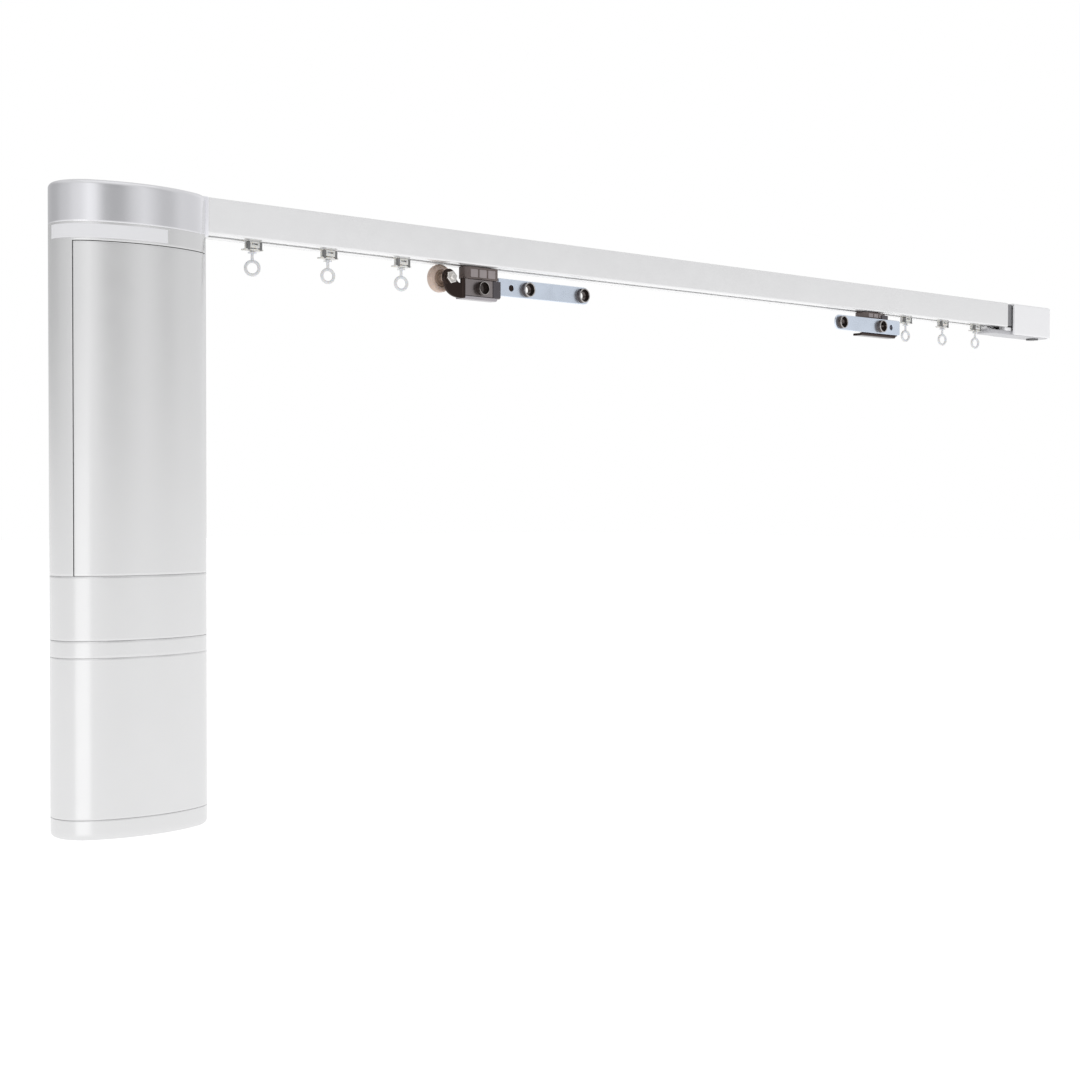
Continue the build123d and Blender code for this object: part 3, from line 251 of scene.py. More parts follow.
def set_piece(name, slot, body, parts, *replaced):
    """Joins (mesh, finish) parts into one piece, puts it on its body and says what it replaces."""
    form = bmesh.new()
    names = []
    for mesh, finish in parts:
        if finish not in names:
            names.append(finish)
        for face in mesh.polygons:
            face.material_index = names.index(finish)
        form.from_mesh(mesh)
    joined = bpy.data.meshes.new(name)
    form.to_mesh(joined)
    form.free()
    for finish in names:
        joined.materials.append(finishes[finish])
    joined.transform(Matrix.Scale(MM, 4))
    piece = new_piece(name, joined)
    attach(piece, body)
    if replaced:
        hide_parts(*replaced)


def set_plain(name, slot, body, mesh, *replaced):
    """A piece of one mesh in the finish of its slot."""
    set_piece(name, slot, body, [(mesh, slot)], *replaced)


def skin(rings, closed=True, keep=None, first_lid=False, last_lid=False):
    """Faces between neighbouring rings of points, with a lid on the first or last where asked."""
    form = bmesh.new()
    rows = [[form.verts.new(point) for point in ring] for ring in rings]
    count = len(rings[0])
    for low, high in zip(rows, rows[1:]):
        for index in range(count if closed else count - 1):
            ahead = (index + 1) % count
            corners = (low[index], low[ahead], high[ahead], high[index])
            middle = sum((corner.co for corner in corners), Vector()) / 4
            if keep is None or keep(middle):
                form.faces.new(corners)
    if first_lid:
        form.faces.new(list(reversed(rows[0])))
    if last_lid:
        form.faces.new(rows[-1])
    return form


edge_angle = math.radians(40.0)


def add_modifier(piece, name, kind, **values):
    modifier = piece.modifiers.new(name, kind)
    for key, value in values.items():
        setattr(modifier, key, value)


def walled(form, wall, edge, cutters=()):
    """Gives an outer skin its wall, cuts its openings and breaks its edges."""
    piece = new_piece("wall", cleaned(form))
    add_modifier(piece, "wall", "SOLIDIFY", thickness=wall, offset=-1.0, use_even_offset=True)
    for cutter in cutters:
        add_modifier(piece, "opening", "BOOLEAN", object=cutter, solver="EXACT")
    add_modifier(piece, "edge", "BEVEL", width=edge, segments=3, limit_method="ANGLE",
                 angle_limit=edge_angle)
    mesh = baked(piece)
    for cutter in cutters:
        bpy.data.objects.remove(cutter)
    mesh.shade_smooth()
    mesh.set_sharp_from_angle(angle=edge_angle)
    return mesh


def notched(mesh, cutter):
    """A closed form with a notch cut into it."""
    piece = new_piece("notched", mesh)
    add_modifier(piece, "notch", "BOOLEAN", object=cutter, solver="EXACT")
    result = baked(piece)
    bpy.data.objects.remove(cutter)
    return result


def rounded(corners):
    """An outline from (u, v, radius) corners, each turned by an arc of its radius."""
    outline = []
    count = len(corners)
    for index, (u, v, radius) in enumerate(corners):
        here = Vector((u, v))
        before = (Vector(corners[index - 1][:2]) - here).normalized()
        after = (Vector(corners[(index + 1) % count][:2]) - here).normalized()
        bend = before.angle(after)
        if radius <= 0.0 or bend > math.radians(179.0):
            outline.append((u, v))
            continue
        reach = radius / math.tan(bend / 2)
        centre = here + (before + after).normalized() * radius / math.sin(bend / 2)
        start = here + before * reach - centre
        sweep = math.pi - bend
        if start.y * before.x - start.x * before.y < 0:
            sweep = -sweep
        steps = max(3, int(abs(sweep) / math.radians(9.0 if radius > 1.0 else 22.0)))
        for step in range(steps + 1):
            turn = Matrix.Rotation(sweep * step / steps, 2)
            outline.append(tuple(centre + turn @ start))
    return outline


def box_outline(u_low, u_high, v_low, v_high, *radii):
    """A rectangle with a radius for each corner, round from the lower left one."""
    corners = ((u_low, v_low), (u_high, v_low), (u_high, v_high), (u_low, v_high))
    return rounded([(u, v, radius) for (u, v), radius in zip(corners, radii)])


def circle(u, v, radius, steps=36):
    return [(u + radius * math.cos(2 * math.pi * step / steps),
             v + radius * math.sin(2 * math.pi * step / steps)) for step in range(steps)]


def on_circle(u, v, radius, degrees):
    angle = math.radians(degrees)
    return u + radius * math.cos(angle), v + radius * math.sin(angle)


def middle_of(node_name):
    """The middle of a CAD node's box, in millimetres."""
    return [(low + high) / 2 / MM for low, high in zip(*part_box(node_name))]


def signed_area(outline):
    total = 0.0
    for (u, v), (next_u, next_v) in zip(outline, outline[1:] + outline[:1]):
        total += u * next_v - next_u * v
    return total / 2


def moved_in(outline, distance):
    """The outline moved towards its left-hand side."""
    result = []
    count = len(outline)
    for index in range(count):
        here = Vector(outline[index])
        into = (here - Vector(outline[index - 1])).normalized()
        out = (Vector(outline[(index + 1) % count]) - here).normalized()
        side = Vector((-into.y - out.y, into.x + out.x)).normalized()
        share = max(0.3, side.dot(Vector((-into.y, into.x))))
        result.append(tuple(here + side * distance / share))
    return result


facing_room = Matrix(((1, 0, 0, 0), (0, 0, -1, 0), (0, 1, 0, 0), (0, 0, 0, 1)))
facing_end = Matrix(((0, 0, 1, 0), (1, 0, 0, 0), (0, 1, 0, 0), (0, 0, 0, 1)))
facing_up = Matrix.Identity(4)


def plate(outline, holes, depth, edge, face=facing_up, place=(0.0, 0.0, 0.0)):
    """A plate with holes and broken edges; its depth runs both ways from its place."""
    form = bmesh.new()
    lids = {-1: [], 1: []}
    half = depth / 2
    slope = edge * (1 - math.cos(math.pi / 4))
    for number, loop in enumerate([outline] + list(holes)):
        wanted = 1 if number == 0 else -1
        if signed_area(loop) * wanted < 0:
            loop = list(reversed(loop))
        levels = [(edge, -half), (slope, slope - half), (0.0, edge - half), (0.0, half - edge),
                  (slope, half - slope), (edge, half)]
        rows = [[form.verts.new((u, v, level)) for u, v in moved_in(loop, inward)]
                for inward, level in levels]
        for low, high in zip(rows, rows[1:]):
            for index in range(len(loop)):
                ahead = (index + 1) % len(loop)
                form.faces.new((low[index], low[ahead], high[ahead], high[index]))
        for side, row in ((-1, rows[0]), (1, rows[-1])):
            for index in range(len(loop)):
                lids[side].append(form.edges.get((row[index], row[(index + 1) % len(loop)])))
    askew = Matrix.Rotation(math.radians(7.3), 4, "Z")  # the fill can fail where edges are level
    form.transform(askew)
    for side in (-1, 1):
        bmesh.ops.triangle_fill(form, use_beauty=True, edges=lids[side], normal=(0, 0, side))
    form.transform(askew.inverted())
    mesh = cleaned(form, 18.0)
    mesh.transform(Matrix.Translation(place) @ face)
    return mesh


def soft_box(x_low, x_high, y_low, y_high, z_low, z_high, edge, corner=0.0):
    """A small moulded block with its edges broken."""
    outline = box_outline(x_low, x_high, y_low, y_high, corner, corner, corner, corner)
    return plate(outline, (), z_high - z_low, edge, facing_up, (0.0, 0.0, (z_low + z_high) / 2))


def turned(profile, face=facing_up, place=(0.0, 0.0, 0.0), steps=48):
    """A form turned about its axis from (radius, height) points."""
    form = bmesh.new()
    rows = []
    for radius, height in profile:
        if radius <= 0.0:
            rows.append([form.verts.new((0.0, 0.0, height))])
        else:
            rows.append([form.verts.new((x, y, height))
                         for x, y in circle(0.0, 0.0, radius, steps)])
    for low, high in zip(rows, rows[1:]):
        for index in range(steps):
            ahead = (index + 1) % steps
            corners = [low[index % len(low)], low[ahead % len(low)], high[ahead % len(high)],
                       high[index % len(high)]]
            form.faces.new(list(dict.fromkeys(corners)))
    mesh = cleaned(form, 28.0)
    mesh.transform(Matrix.Translation(place) @ face)
    return mesh


# Geometry Nodes: a row of one small piece, and a ring eyelet on its stem

def new_tree(name, inputs):
    """A tree with its two geometry sockets and further (name, kind) inputs."""
    tree = bpy.data.node_groups.new(name, "GeometryNodeTree")
    tree.interface.new_socket(name="Geometry", in_out="OUTPUT", socket_type="NodeSocketGeometry")
    for label, kind in (("Geometry", "Geometry"), ("Finish", "Material")) + inputs:
        tree.interface.new_socket(name=label, in_out="INPUT", socket_type="NodeSocket" + kind)
    return tree, tree.nodes.new("NodeGroupInput")


def end_tree(tree, source, geometry):
    """Makes a tree's copies real, gives them their finish and hands them out."""
    real = tree.nodes.new("GeometryNodeRealizeInstances")
    coat = tree.nodes.new("GeometryNodeSetMaterial")
    result = tree.nodes.new("NodeGroupOutput")
    tree.links.new(geometry, real.inputs["Geometry"])
    link(tree, (real, "Geometry", coat, "Geometry"), (source, "Finish", coat, "Material"),
         (coat, "Geometry", result, "Geometry"))


def make_row_tree():
    tree, source = new_tree("row_of_pieces", (("Piece", "Object"), ("Count", "Int"),
                                              ("Start", "Vector"), ("Step", "Vector")))
    line = tree.nodes.new("GeometryNodeMeshLine")
    line.mode = "OFFSET"
    model = tree.nodes.new("GeometryNodeObjectInfo")
    copies = tree.nodes.new("GeometryNodeInstanceOnPoints")
    link(tree, (source, "Count", line, "Count"), (source, "Start", line, "Start Location"),
         (source, "Step", line, "Offset"), (source, "Piece", model, "Object"),
         (line, "Mesh", copies, "Points"), (model, "Geometry", copies, "Instance"))
    end_tree(tree, source, copies.outputs["Instances"])
    return tree


def grown(tree, values):
    """The plain mesh that a tree makes from named values."""
    holder = new_piece("grown", bpy.data.meshes.new("grown"))
    modifier = holder.modifiers.new("grown", "NODES")
    modifier.node_group = tree
    for entry in tree.interface.items_tree:
        if entry.item_type == "SOCKET" and entry.in_out == "INPUT" and entry.name in values:
            modifier[entry.identifier] = values[entry.name]
    return baked(holder)


row_tree = make_row_tree()


def row_of(mesh, finish, count, start, step=(0.0, 0.0, 0.0)):
    model = new_piece("model", mesh)
    result = grown(row_tree, {"Piece": model, "Count": count, "Start": start, "Step": step,
                              "Finish": finishes[finish]})
    bpy.data.objects.remove(model)
    return result, finish


ring_steps, wire_steps, rod_steps = 56, 16, 28


def make_eyelet_tree():
    """The ring of an eyelet and the rods of its stem, swept along circles and lines."""
    tree, source = new_tree("ring_eyelet", (("Ring radius", "Float"), ("Wire radius", "Float"),
                                            ("Ring level", "Float"), ("Turn", "Float"),
                                            ("Place", "Vector")))
    gather = tree.nodes.new("GeometryNodeJoinGeometry")
    loop = place_node(tree, "GeometryNodeCurvePrimitiveCircle", Resolution=ring_steps)
    wire = place_node(tree, "GeometryNodeCurvePrimitiveCircle", Resolution=wire_steps)
    sweep = tree.nodes.new("GeometryNodeCurveToMesh")
    stand = place_node(tree, "GeometryNodeTransform", Rotation=(math.pi / 2, 0.0, 0.0))
    raise_ring = tree.nodes.new("ShaderNodeCombineXYZ")
    link(tree, (source, "Ring radius", loop, "Radius"), (source, "Wire radius", wire, "Radius"),
         (loop, "Curve", sweep, "Curve"), (wire, "Curve", sweep, "Profile Curve"),
         (sweep, "Mesh", stand, "Geometry"), (source, "Ring level", raise_ring, "Z"),
         (raise_ring, "Vector", stand, "Translation"), (stand, "Geometry", gather, "Geometry"))
    for low, high, radius in eyelet_rods:
        length = place_node(tree, "GeometryNodeCurvePrimitiveLine", Start=(0.0, 0.0, low),
                            End=(0.0, 0.0, high))
        around = place_node(tree, "GeometryNodeCurvePrimitiveCircle", Resolution=rod_steps,
                            Radius=radius)
        rod = place_node(tree, "GeometryNodeCurveToMesh", **{"Fill Caps": True})
        link(tree, (length, "Curve", rod, "Curve"), (around, "Curve", rod, "Profile Curve"),
             (rod, "Mesh", gather, "Geometry"))
    turn = tree.nodes.new("ShaderNodeCombineXYZ")
    put = tree.nodes.new("GeometryNodeTransform")
    link(tree, (source, "Turn", turn, "Z"), (turn, "Vector", put, "Rotation"),
         (source, "Place", put, "Translation"), (gather, "Geometry", put, "Geometry"))
    end_tree(tree, source, put.outputs["Geometry"])
    return tree


# Column: its plan is four arcs, its pieces are walls between levels

column_half_length = 38.8
column_half_width = 22.0
column_end_radius = 17.5
end_steps, side_steps = 30, 24


def oval_places(cuts=()):
    """Points round the plan as (centre x, centre y, radius, angle, y of the cut or None)."""
    end_centre = column_half_length - column_end_radius
    excess = column_half_width - column_end_radius
    side_radius = (end_centre**2 + column_half_width**2 - column_end_radius**2) / (2 * excess)
    side_centre = side_radius - column_half_width
    turn = math.atan2(side_centre, end_centre)
    places = []
    for centre_x, centre_y, radius, first, last, steps in (
            (end_centre, 0.0, column_end_radius, -turn, turn, end_steps),
            (0.0, -side_centre, side_radius, turn, math.pi - turn, side_steps),
            (-end_centre, 0.0, column_end_radius, math.pi - turn, math.pi + turn, end_steps),
            (0.0, side_centre, side_radius, math.pi + turn, 2 * math.pi - turn, side_steps)):
        stops = {first + (last - first) * step / steps: None for step in range(steps)}
        if radius == column_end_radius:
            for cut in cuts:
                angle = math.asin(cut / radius)
                stops[angle if centre_x > 0 else math.pi - angle] = cut
        places += [(centre_x, centre_y, radius, angle, stops[angle]) for angle in sorted(stops)]
    return places


def oval_ring(places, inset, level):
    ring = []
    for centre_x, centre_y, radius, angle, cut in places:
        reach = radius - inset
        if cut is None:
            ring.append(Vector((centre_x + reach * math.cos(angle),
                                centre_y + reach * math.sin(angle), level)))
        else:
            across = math.copysign(math.sqrt(reach**2 - cut**2), math.cos(angle))
            ring.append(Vector((centre_x + across, cut, level)))
    return ring


def held_levels(low, high):
    """Levels of a straight wall, with extra ones by its edges so that it shades flat."""
    return (low, low + 1.2, high - 1.2, high)


def straight_rings(places, low, high):
    return [oval_ring(places, 0.0, level) for level in held_levels(low, high)]


def fillet_levels(level, radius, upwards=True, steps=5):
    """(inset, level) pairs of a rounded rim that ends flat at a level."""
    pairs = []
    for step in range(steps + 1):
        angle = math.pi / 2 * step / steps
        drop = radius * (1 - math.sin(angle))
        pairs.append((radius * (1 - math.cos(angle)), level - drop if upwards else level + drop))
    return pairs


housing_rim = 2.5
collar_half, collar_x, collar_length = 10.6, 35.0, 4.0
column_wall, cap_wall, column_edge = 2.0, 1.6, 0.45
shell_cut_level, shell_cut_y = -27.3, -10.4
panel_top, panel_cut_y = -27.55, -10.65
housing_bottom, shell_bottom, band_bottom = -18.9, -177.2, -206.4
latch_bottom, case_bottom, base_bottom = -213.9, -286.8, -296.0
latch_level = (band_bottom + latch_bottom) / 2
button_level = middle_of("program_button")[2]


def make_housing():
    places = oval_places()
    levels = [(0.0, housing_bottom), (0.0, housing_bottom + 1.0), (0.0, -4.0)]
    levels += fillet_levels(0.0, housing_rim, steps=8)
    rings = [oval_ring(places, inset, level) for inset, level in levels]
    mouth = new_piece("mouth", soft_box(collar_x - 2.05, 45.0, -collar_half - 0.05,
                                        collar_half + 0.05, -30.0, 5.0, 0.05))
    mesh = walled(skin(rings, last_lid=True), cap_wall, 0.3, cutters=[mouth])
    set_plain("housing_cover", "silver_housing", "track", mesh, "pulley_housing")


def make_collar():
    outline = box_outline(-collar_half, collar_half, housing_bottom, 0.0, 0.4, 0.4, 0.9, 0.9)
    opening = box_outline(-9.15, 9.15, -17.25, 0.05, 0.7, 0.7, 0.3, 0.3)
    opening = [(u, min(v, -0.35)) for u, v in opening]
    mesh = plate(outline, [opening], collar_length, 0.35, facing_end, (collar_x, 0.0, 0.0))
    set_plain("entry_collar", "collar_metal", "track", mesh, "track_collar")


def make_shell():
    places = oval_places((shell_cut_y,))
    low_levels = held_levels(shell_bottom, shell_cut_level)
    levels = [*low_levels[:2], *(button_level + step for step in (-9.0, -6.0, 6.0, 9.0)),
              *low_levels[2:], shell_cut_level + 1.2, housing_bottom - 0.6, housing_bottom]
    rings = [oval_ring(places, 0.0, level) for level in levels]
    form = skin(rings, last_lid=True,
                keep=lambda middle: middle.y > shell_cut_y or middle.z > shell_cut_level)
    hole = new_piece("button_hole", turned([(0.0, -9.0), (3.35, -9.0), (3.35, 9.0), (0.0, 9.0)],
                                           facing_room, (0.0, 20.0, button_level)))
    mesh = walled(form, column_wall, 0.4, cutters=[hole])
    set_plain("rear_shell", "column_white", "track", mesh, "motor_shell")


def make_panel():
    places = oval_places((panel_cut_y,))
    rings = straight_rings(places, shell_bottom, panel_top)
    form = skin(rings, keep=lambda middle: middle.y < panel_cut_y)
    mesh = walled(form, column_wall, column_edge)
    set_plain("bowed_panel", "column_white", "track", mesh, "front_panel")


def make_blank_strip():
    """A bare strip of film between the housing and the panel."""
    places = [place for place in oval_places() if place[2] > column_end_radius or place[0] < 0]
    ring = [place for place in places if math.pi * 0.97 < place[3] < math.radians(276.8)]
    rings = [oval_ring(ring, -0.12, level) for level in (-26.1, -25.8, -20.2, -19.9)]
    mesh = walled(skin(rings, closed=False), 0.1, 0.03)
    set_piece("blank_strip", "column_white", "track", [(mesh, "strip_film")])


def make_bands():
    places = oval_places()
    band = walled(skin(straight_rings(places, band_bottom, shell_bottom)), column_wall,
                  column_edge)
    floor = skin([oval_ring(places, 1.9, level) for level in (-198.2, -196.2)], first_lid=True,
                 last_lid=True)
    set_piece("upper_band", "column_white", "track",
              [(band, "column_white"), (cleaned(floor), "column_white")], "collar_band")
    slot = new_piece("latch_slot", soft_box(-7.1, 7.1, 10.0, 30.0, latch_level - 1.9,
                                            latch_level + 1.9, 0.05))
    rim = walled(skin(straight_rings(places, latch_bottom, band_bottom)), column_wall, 0.5,
                 cutters=[slot])
    set_plain("narrow_band", "column_white", "track", rim, "latch_band")


def make_battery():
    places = oval_places()
    rings = straight_rings(places, case_bottom, latch_bottom)
    case = walled(skin(rings, last_lid=True), column_wall, column_edge)
    steps = ((2.3, -0.5), (2.3, 6.0), (2.7, 6.4), (3.7, 6.4), (4.1, 6.0), (4.1, -0.5), (2.3, -0.5))
    spigot = skin([oval_ring(places, inset, latch_bottom + height) for inset, height in steps])
    latch_room = new_piece("latch_room", soft_box(-7.3, 7.3, 16.1, 30.0, latch_bottom,
                                                  latch_bottom + 9.0, 0.05))
    spigot = notched(cleaned(spigot), latch_room)
    set_piece("battery_body", "column_white", "battery",
              [(case, "column_white"), (spigot, "column_white")], "battery_case")
    rims = [oval_ring(places, 0.0, level) for level in (case_bottom, case_bottom - 1.0, -292.0)]
    rims += [oval_ring(places, inset, level)
             for inset, level in fillet_levels(base_bottom, 2.4, False)]
    angles = [math.atan2(point.y, point.x) for point in rims[0]]
    for radius, height in ((6.0, 0.0), (3.1, 0.0), (2.8, 0.3), (2.8, 6.0)):
        rims.append([Vector((radius * math.cos(angle), radius * math.sin(angle),
                             base_bottom + height)) for angle in angles])
    base = walled(skin(rims, last_lid=True), cap_wall, column_edge)
    set_plain("bottom_cap", "column_white", "battery", base, "battery_base")


def make_latch_ribs():
    rib = soft_box(-0.35, 0.35, 22.6, 23.1, latch_level - 1.3, latch_level + 1.3, 0.12)
    set_piece("latch_ribs", "column_white", "latch",
              [row_of(rib, "column_white", 5, (-4.0, 0.0, 0.0), (2.0, 0.0, 0.0))])


# Rail

rail_start, rail_end = 31.0, 724.0
rail_half, rail_bottom, rail_face_bow = 9.0, -17.2, -0.1
rail_slot_half = 2.6
hollow_half, hollow_floor, hollow_roof = 7.9, -16.0, -3.8
groove_mouth_half, groove_half, groove_lip, groove_floor = 2.5, 5.0, -1.1, -2.9


def mirrored(corners):
    return [(-y, z, radius) for y, z, radius in reversed(corners)]


def make_rail():
    outer = [(-rail_slot_half, rail_bottom, 0.25), (-rail_half, rail_bottom, 0.8),
             (-rail_half, 0.0, 0.7), (-groove_mouth_half, 0.0, 0.25),
             (-groove_mouth_half, groove_lip, 0.2), (-groove_half, groove_lip, 0.0),
             (-groove_half, groove_floor, 0.0)]
    inner = [(rail_slot_half, hollow_floor, 0.2), (hollow_half, hollow_floor, 0.0),
             (hollow_half, hollow_roof, 0.0)]
    outline = rounded(outer + mirrored(outer) + inner + mirrored(inner))
    section = []
    for (y, z), (next_y, next_z) in zip(outline, outline[1:] + outline[:1]):
        section.append((y, z))
        if abs(y - next_y) < 0.01 and abs(y) > rail_half - 0.1 and abs(next_z - z) > 5.0:
            for share in (0.02, 0.12, 0.25, 0.38, 0.5, 0.62, 0.75, 0.88, 0.98):
                bow = rail_face_bow * (1 - (2 * share - 1)**2)
                section.append((y + math.copysign(bow, y), z + (next_z - z) * share))
    rings = [[Vector((x, y, z)) for y, z in section]
             for x in (rail_start, rail_start + 1.0, rail_end - 0.8, rail_end)]
    mesh = cleaned(skin(rings, first_lid=True, last_lid=True), 28.0)
    set_plain("rail_profile", "rail_white", "track", mesh, "track_rail")


# Return end

def make_return_end():
    far, near, half, corner = 784.4, 730.6, 10.4, 8.4
    tongue_end, tongue_half, cheek_inner = 704.3, 7.5, 2.7

    def cap_ring(inset, level):
        reach = corner - inset
        points = [(near, inset - half), (near + 1.0, inset - half),
                  (far - corner - 1.0, inset - half)]
        for centre_y, first in ((corner - half, -90.0), (half - corner, 0.0)):
            for step in range(13):
                points.append(on_circle(far - corner, centre_y, reach, first + 90.0 * step / 12))
        points += [(far - corner - 1.0, half - inset), (near + 1.0, half - inset),
                   (near, half - inset)]
        return [Vector((x, y, level)) for x, y in points]

    rings = [cap_ring(0.45, -22.4), cap_ring(0.0, -21.8), cap_ring(0.0, -20.8)]
    rings += [cap_ring(inset, level) for inset, level in fillet_levels(0.0, 1.3)]
    cap = walled(skin(rings, closed=False, last_lid=True), 1.5, 0.3)
    set_plain("end_cap", "cap_white", "track", cap, "return_cap")
    inner = 1.6
    outline = rounded([(tongue_end, -tongue_half, 5.0), (near, -tongue_half, 0.0),
                       (near, inner - half, 0.0), (far - inner, inner - half, corner - inner),
                       (far - inner, half - inner, corner - inner), (near, half - inner, 0.0),
                       (near, tongue_half, 0.0), (tongue_end, tongue_half, 5.0)])
    floor = plate(outline, (), 3.0, 0.9, facing_up, (0.0, 0.0, -21.1))
    cheeks = [(soft_box(722.5, 731.0, low, high, -19.7, -17.25, 0.2), "cap_white")
              for low, high in ((-tongue_half, -cheek_inner), (cheek_inner, tongue_half))]
    stop = soft_box(705.0, 708.0, -2.2, 2.2, -19.7, -17.3, 0.2)
    set_piece("return_tongue", "cap_white", "track",
              [(floor, "base_grey"), (stop, "cap_white")] + cheeks, "return_base")


def make_axle_head():
    """The axle of the return pulley, its slotted head under the floor of the cap."""
    x, under, radius = 771.0, -22.6, 4.4
    parts = [(turned([(0.0, -1.6), (2.0, -1.6), (2.0, under), (radius - 0.2, under),
                      (radius, under - 0.2), (radius, under - 0.55), (0.0, under - 0.55)],
                     facing_up, (x, 0.0, 0.0)), "axle_grey")]
    lip = math.degrees(math.asin(0.55 / radius))
    for side in (-1, 1):
        half = [on_circle(x, 0.0, radius, side * (lip + (180.0 - 2 * lip) * step / 24))
                for step in range(25)]
        parts.append((plate(half, (), 0.57, 0.15, facing_up, (0.0, 0.0, under - 0.815)),
                      "axle_grey"))
    set_piece("axle_head", "bright_nickel", "track", parts, "return_axle")


# Gliders and eyelets

# Each row: low and high along X, Y and Z, the broken edge, the corner
glider_white_boxes = (
    (-5.5, 5.5, -6.2, 6.2, -15.9, -14.4, 0.3, 0.8),
    (-3.8, 3.8, -2.2, 2.2, -17.4, -15.8, 0.2, 0.5),
    (-2.85, 2.85, -2.4, 2.4, -18.2, -17.4, 0.15),
    (-2.85, 2.85, -2.4, 2.4, -20.5, -19.0, 0.2),
    (-2.85, -1.9, -2.4, 2.4, -19.2, -18.0, 0.1),
    (1.9, 2.85, -2.4, 2.4, -19.2, -18.0, 0.1),
    (-5.0, 5.0, -2.2, 2.2, -21.7, -20.9, 0.15),
)
# Ear blocks at the front of each glider, dark grey as painted shade for the body's shaded sides
glider_painted_shade_boxes = (
    (-4.2, -2.8, -2.45, -0.9, -21.6, -17.5, 0.25),
    (2.8, 4.2, -2.45, -0.9, -21.6, -17.5, 0.25),
)


def make_gliders():
    white = [soft_box(*row) for row in glider_white_boxes]
    shaded_ears = [soft_box(*row) for row in glider_painted_shade_boxes]
    for number in range(1, 7):
        x = middle_of(f"glider_{number}")[0]
        parts = [row_of(mesh.copy(), finish, 1, (x, 0.0, 0.0))
                 for meshes, finish in ((white, "glider_white"), (shaded_ears, "glider_ear_grey"))
                 for mesh in meshes]
        set_piece(f"slider_{number}", "glider_white", f"glider_{number}_body", parts,
                  f"glider_{number}")


eyelet_rods = ((-26.95, -18.4, 0.75), (-18.9, -18.3, 1.5), (-23.0, -22.4, 2.1),
               (-22.2, -20.6, 1.25))
eyelet_turns = (-30.0, -12.0, -15.0, -10.0, -12.0, -10.0)


def make_eyelets():
    tree = make_eyelet_tree()
    for number, turn in enumerate(eyelet_turns, start=1):
        x = middle_of(f"glider_{number}")[0]
        mesh = grown(tree, {"Ring radius": 3.3, "Wire radius": 0.8, "Ring level": -30.1,
                            "Turn": math.radians(turn), "Place": (x, 0.0, 0.0),
                            "Finish": finishes["eyelet_white"]})
        form = bmesh.new()
        form.from_mesh(mesh)
        set_piece(f"ring_{number}", "eyelet_white", f"eyelet_{number}_body",
                  [(cleaned(form, 40.0), "eyelet_white")], f"eyelet_{number}")


# Master carriers

arm_low, arm_high, arm_length, arm_depth = -31.6, -22.0, 70.4, 1.2
left_arm_root, left_arm_y = 229.5, -2.4
right_arm_root, right_arm_y = 591.2, -8.7
hole_x, rivet_x, rivet_step, rivet_level = 9.6, 21.4, 42.9, -26.8
screw_x, screw_level = 215.46, -28.95
wheel_x, wheel_level = 193.0, -24.7
block_top = -17.6
bracket_depth = 1.5
left_bracket_y, right_bracket_y = -3.75, -7.35


def make_block(name, body, node, x_low, x_high, y_front, y_back, z_low, extra):
    outline = box_outline(x_low, x_high, y_front, y_back, 3.0, 0.4, 0.4, 2.3)
    height = block_top - z_low
    middle_z = (z_low + block_top) / 2
    solid = plate(outline, (), height, 0.35, facing_up, (0.0, 0.0, middle_z))
    parts = [(solid, "block_brown")]
    pitch = (x_high - x_low - 4.1) / 3
    width = pitch - 1.1
    tall = height * 0.66
    frame_outline = box_outline(0.0, width, -tall / 2, tall / 2, 0.5, 0.5, 0.5, 0.5)
    window = plate(frame_outline, (), 0.5, 0.2, facing_room)
    parts.append(row_of(window, "block_window", 3, (x_low + 3.0, y_front - 0.1, middle_z - 0.2),
                        (pitch, 0.0, 0.0)))
    middle = (x_low + x_high) / 2
    parts.append((soft_box(middle - 9.0, middle + 9.0, -2.3, 2.3, -17.9, -15.7, 0.2),
                  "block_brown"))
    for box in extra:
        parts.append((soft_box(*box, 0.2), "block_brown"))
    set_piece(name, "block_brown", body, parts, node)


def make_left_bracket():
    start, end, top, bottom = 202.5, 229.5, -24.25, -33.65
    face = plate(box_outline(start, end, bottom - 0.2, top, 0.3, 0.9, 0.3, 0.3), (),
                 bracket_depth, 0.3, facing_room, (0.0, left_bracket_y, 0.0))
    # A thin dark strip laid on the plate's end: painted shadow
    strip = plate(box_outline(end - 5.6, end - 0.1, bottom + 0.2, top - 0.1, 0.3, 0.8, 0.3, 0.3),
                  (), 0.5, 0.15, facing_room, (0.0, -4.6, 0.0))
    # The folded lip takes the lighter nickel as a painted highlight
    lip = folded_lip(start, end - 2.2, left_bracket_y - bracket_depth / 2, 1.5, bottom,
                     bracket_depth)
    # The bend and arm take the near-black finish as painted shade, for the arm curving back out of
    # the light
    bend = turned([(0.0, bottom - 1.3), (1.1, bottom - 1.3), (1.45, bottom - 0.9),
                   (1.45, top - 0.4), (1.1, top), (0.0, top)], facing_up,
                  (start + 0.3, left_bracket_y, 0.0), 24)
    sweep = [on_circle(wheel_x, wheel_level, 4.6, angle) for angle in range(10, 215, 6)]
    under = curve_points(sweep[-1], (190.2, -34.2), (197.0, -35.6), (start + 0.5, bottom - 1.4),
                         14)
    over = curve_points((start + 0.5, top - 2.4), (200.5, -27.4), (198.2, -27.2), sweep[0], 12)
    arm = plate(sweep + under[1:] + over[:-1], [circle(wheel_x, wheel_level, 1.6, 28)],
                bracket_depth, 0.35, facing_room, (0.0, left_bracket_y, 0.0))
    set_piece("left_bracket_plate", "dark_nickel", "left_carrier",
              [(face, "dark_nickel"), (strip, "bracket_shadow"), (lip, "bracket_lip"),
               (bend, "bracket_brown"), (arm, "bracket_brown")], "left_bracket")


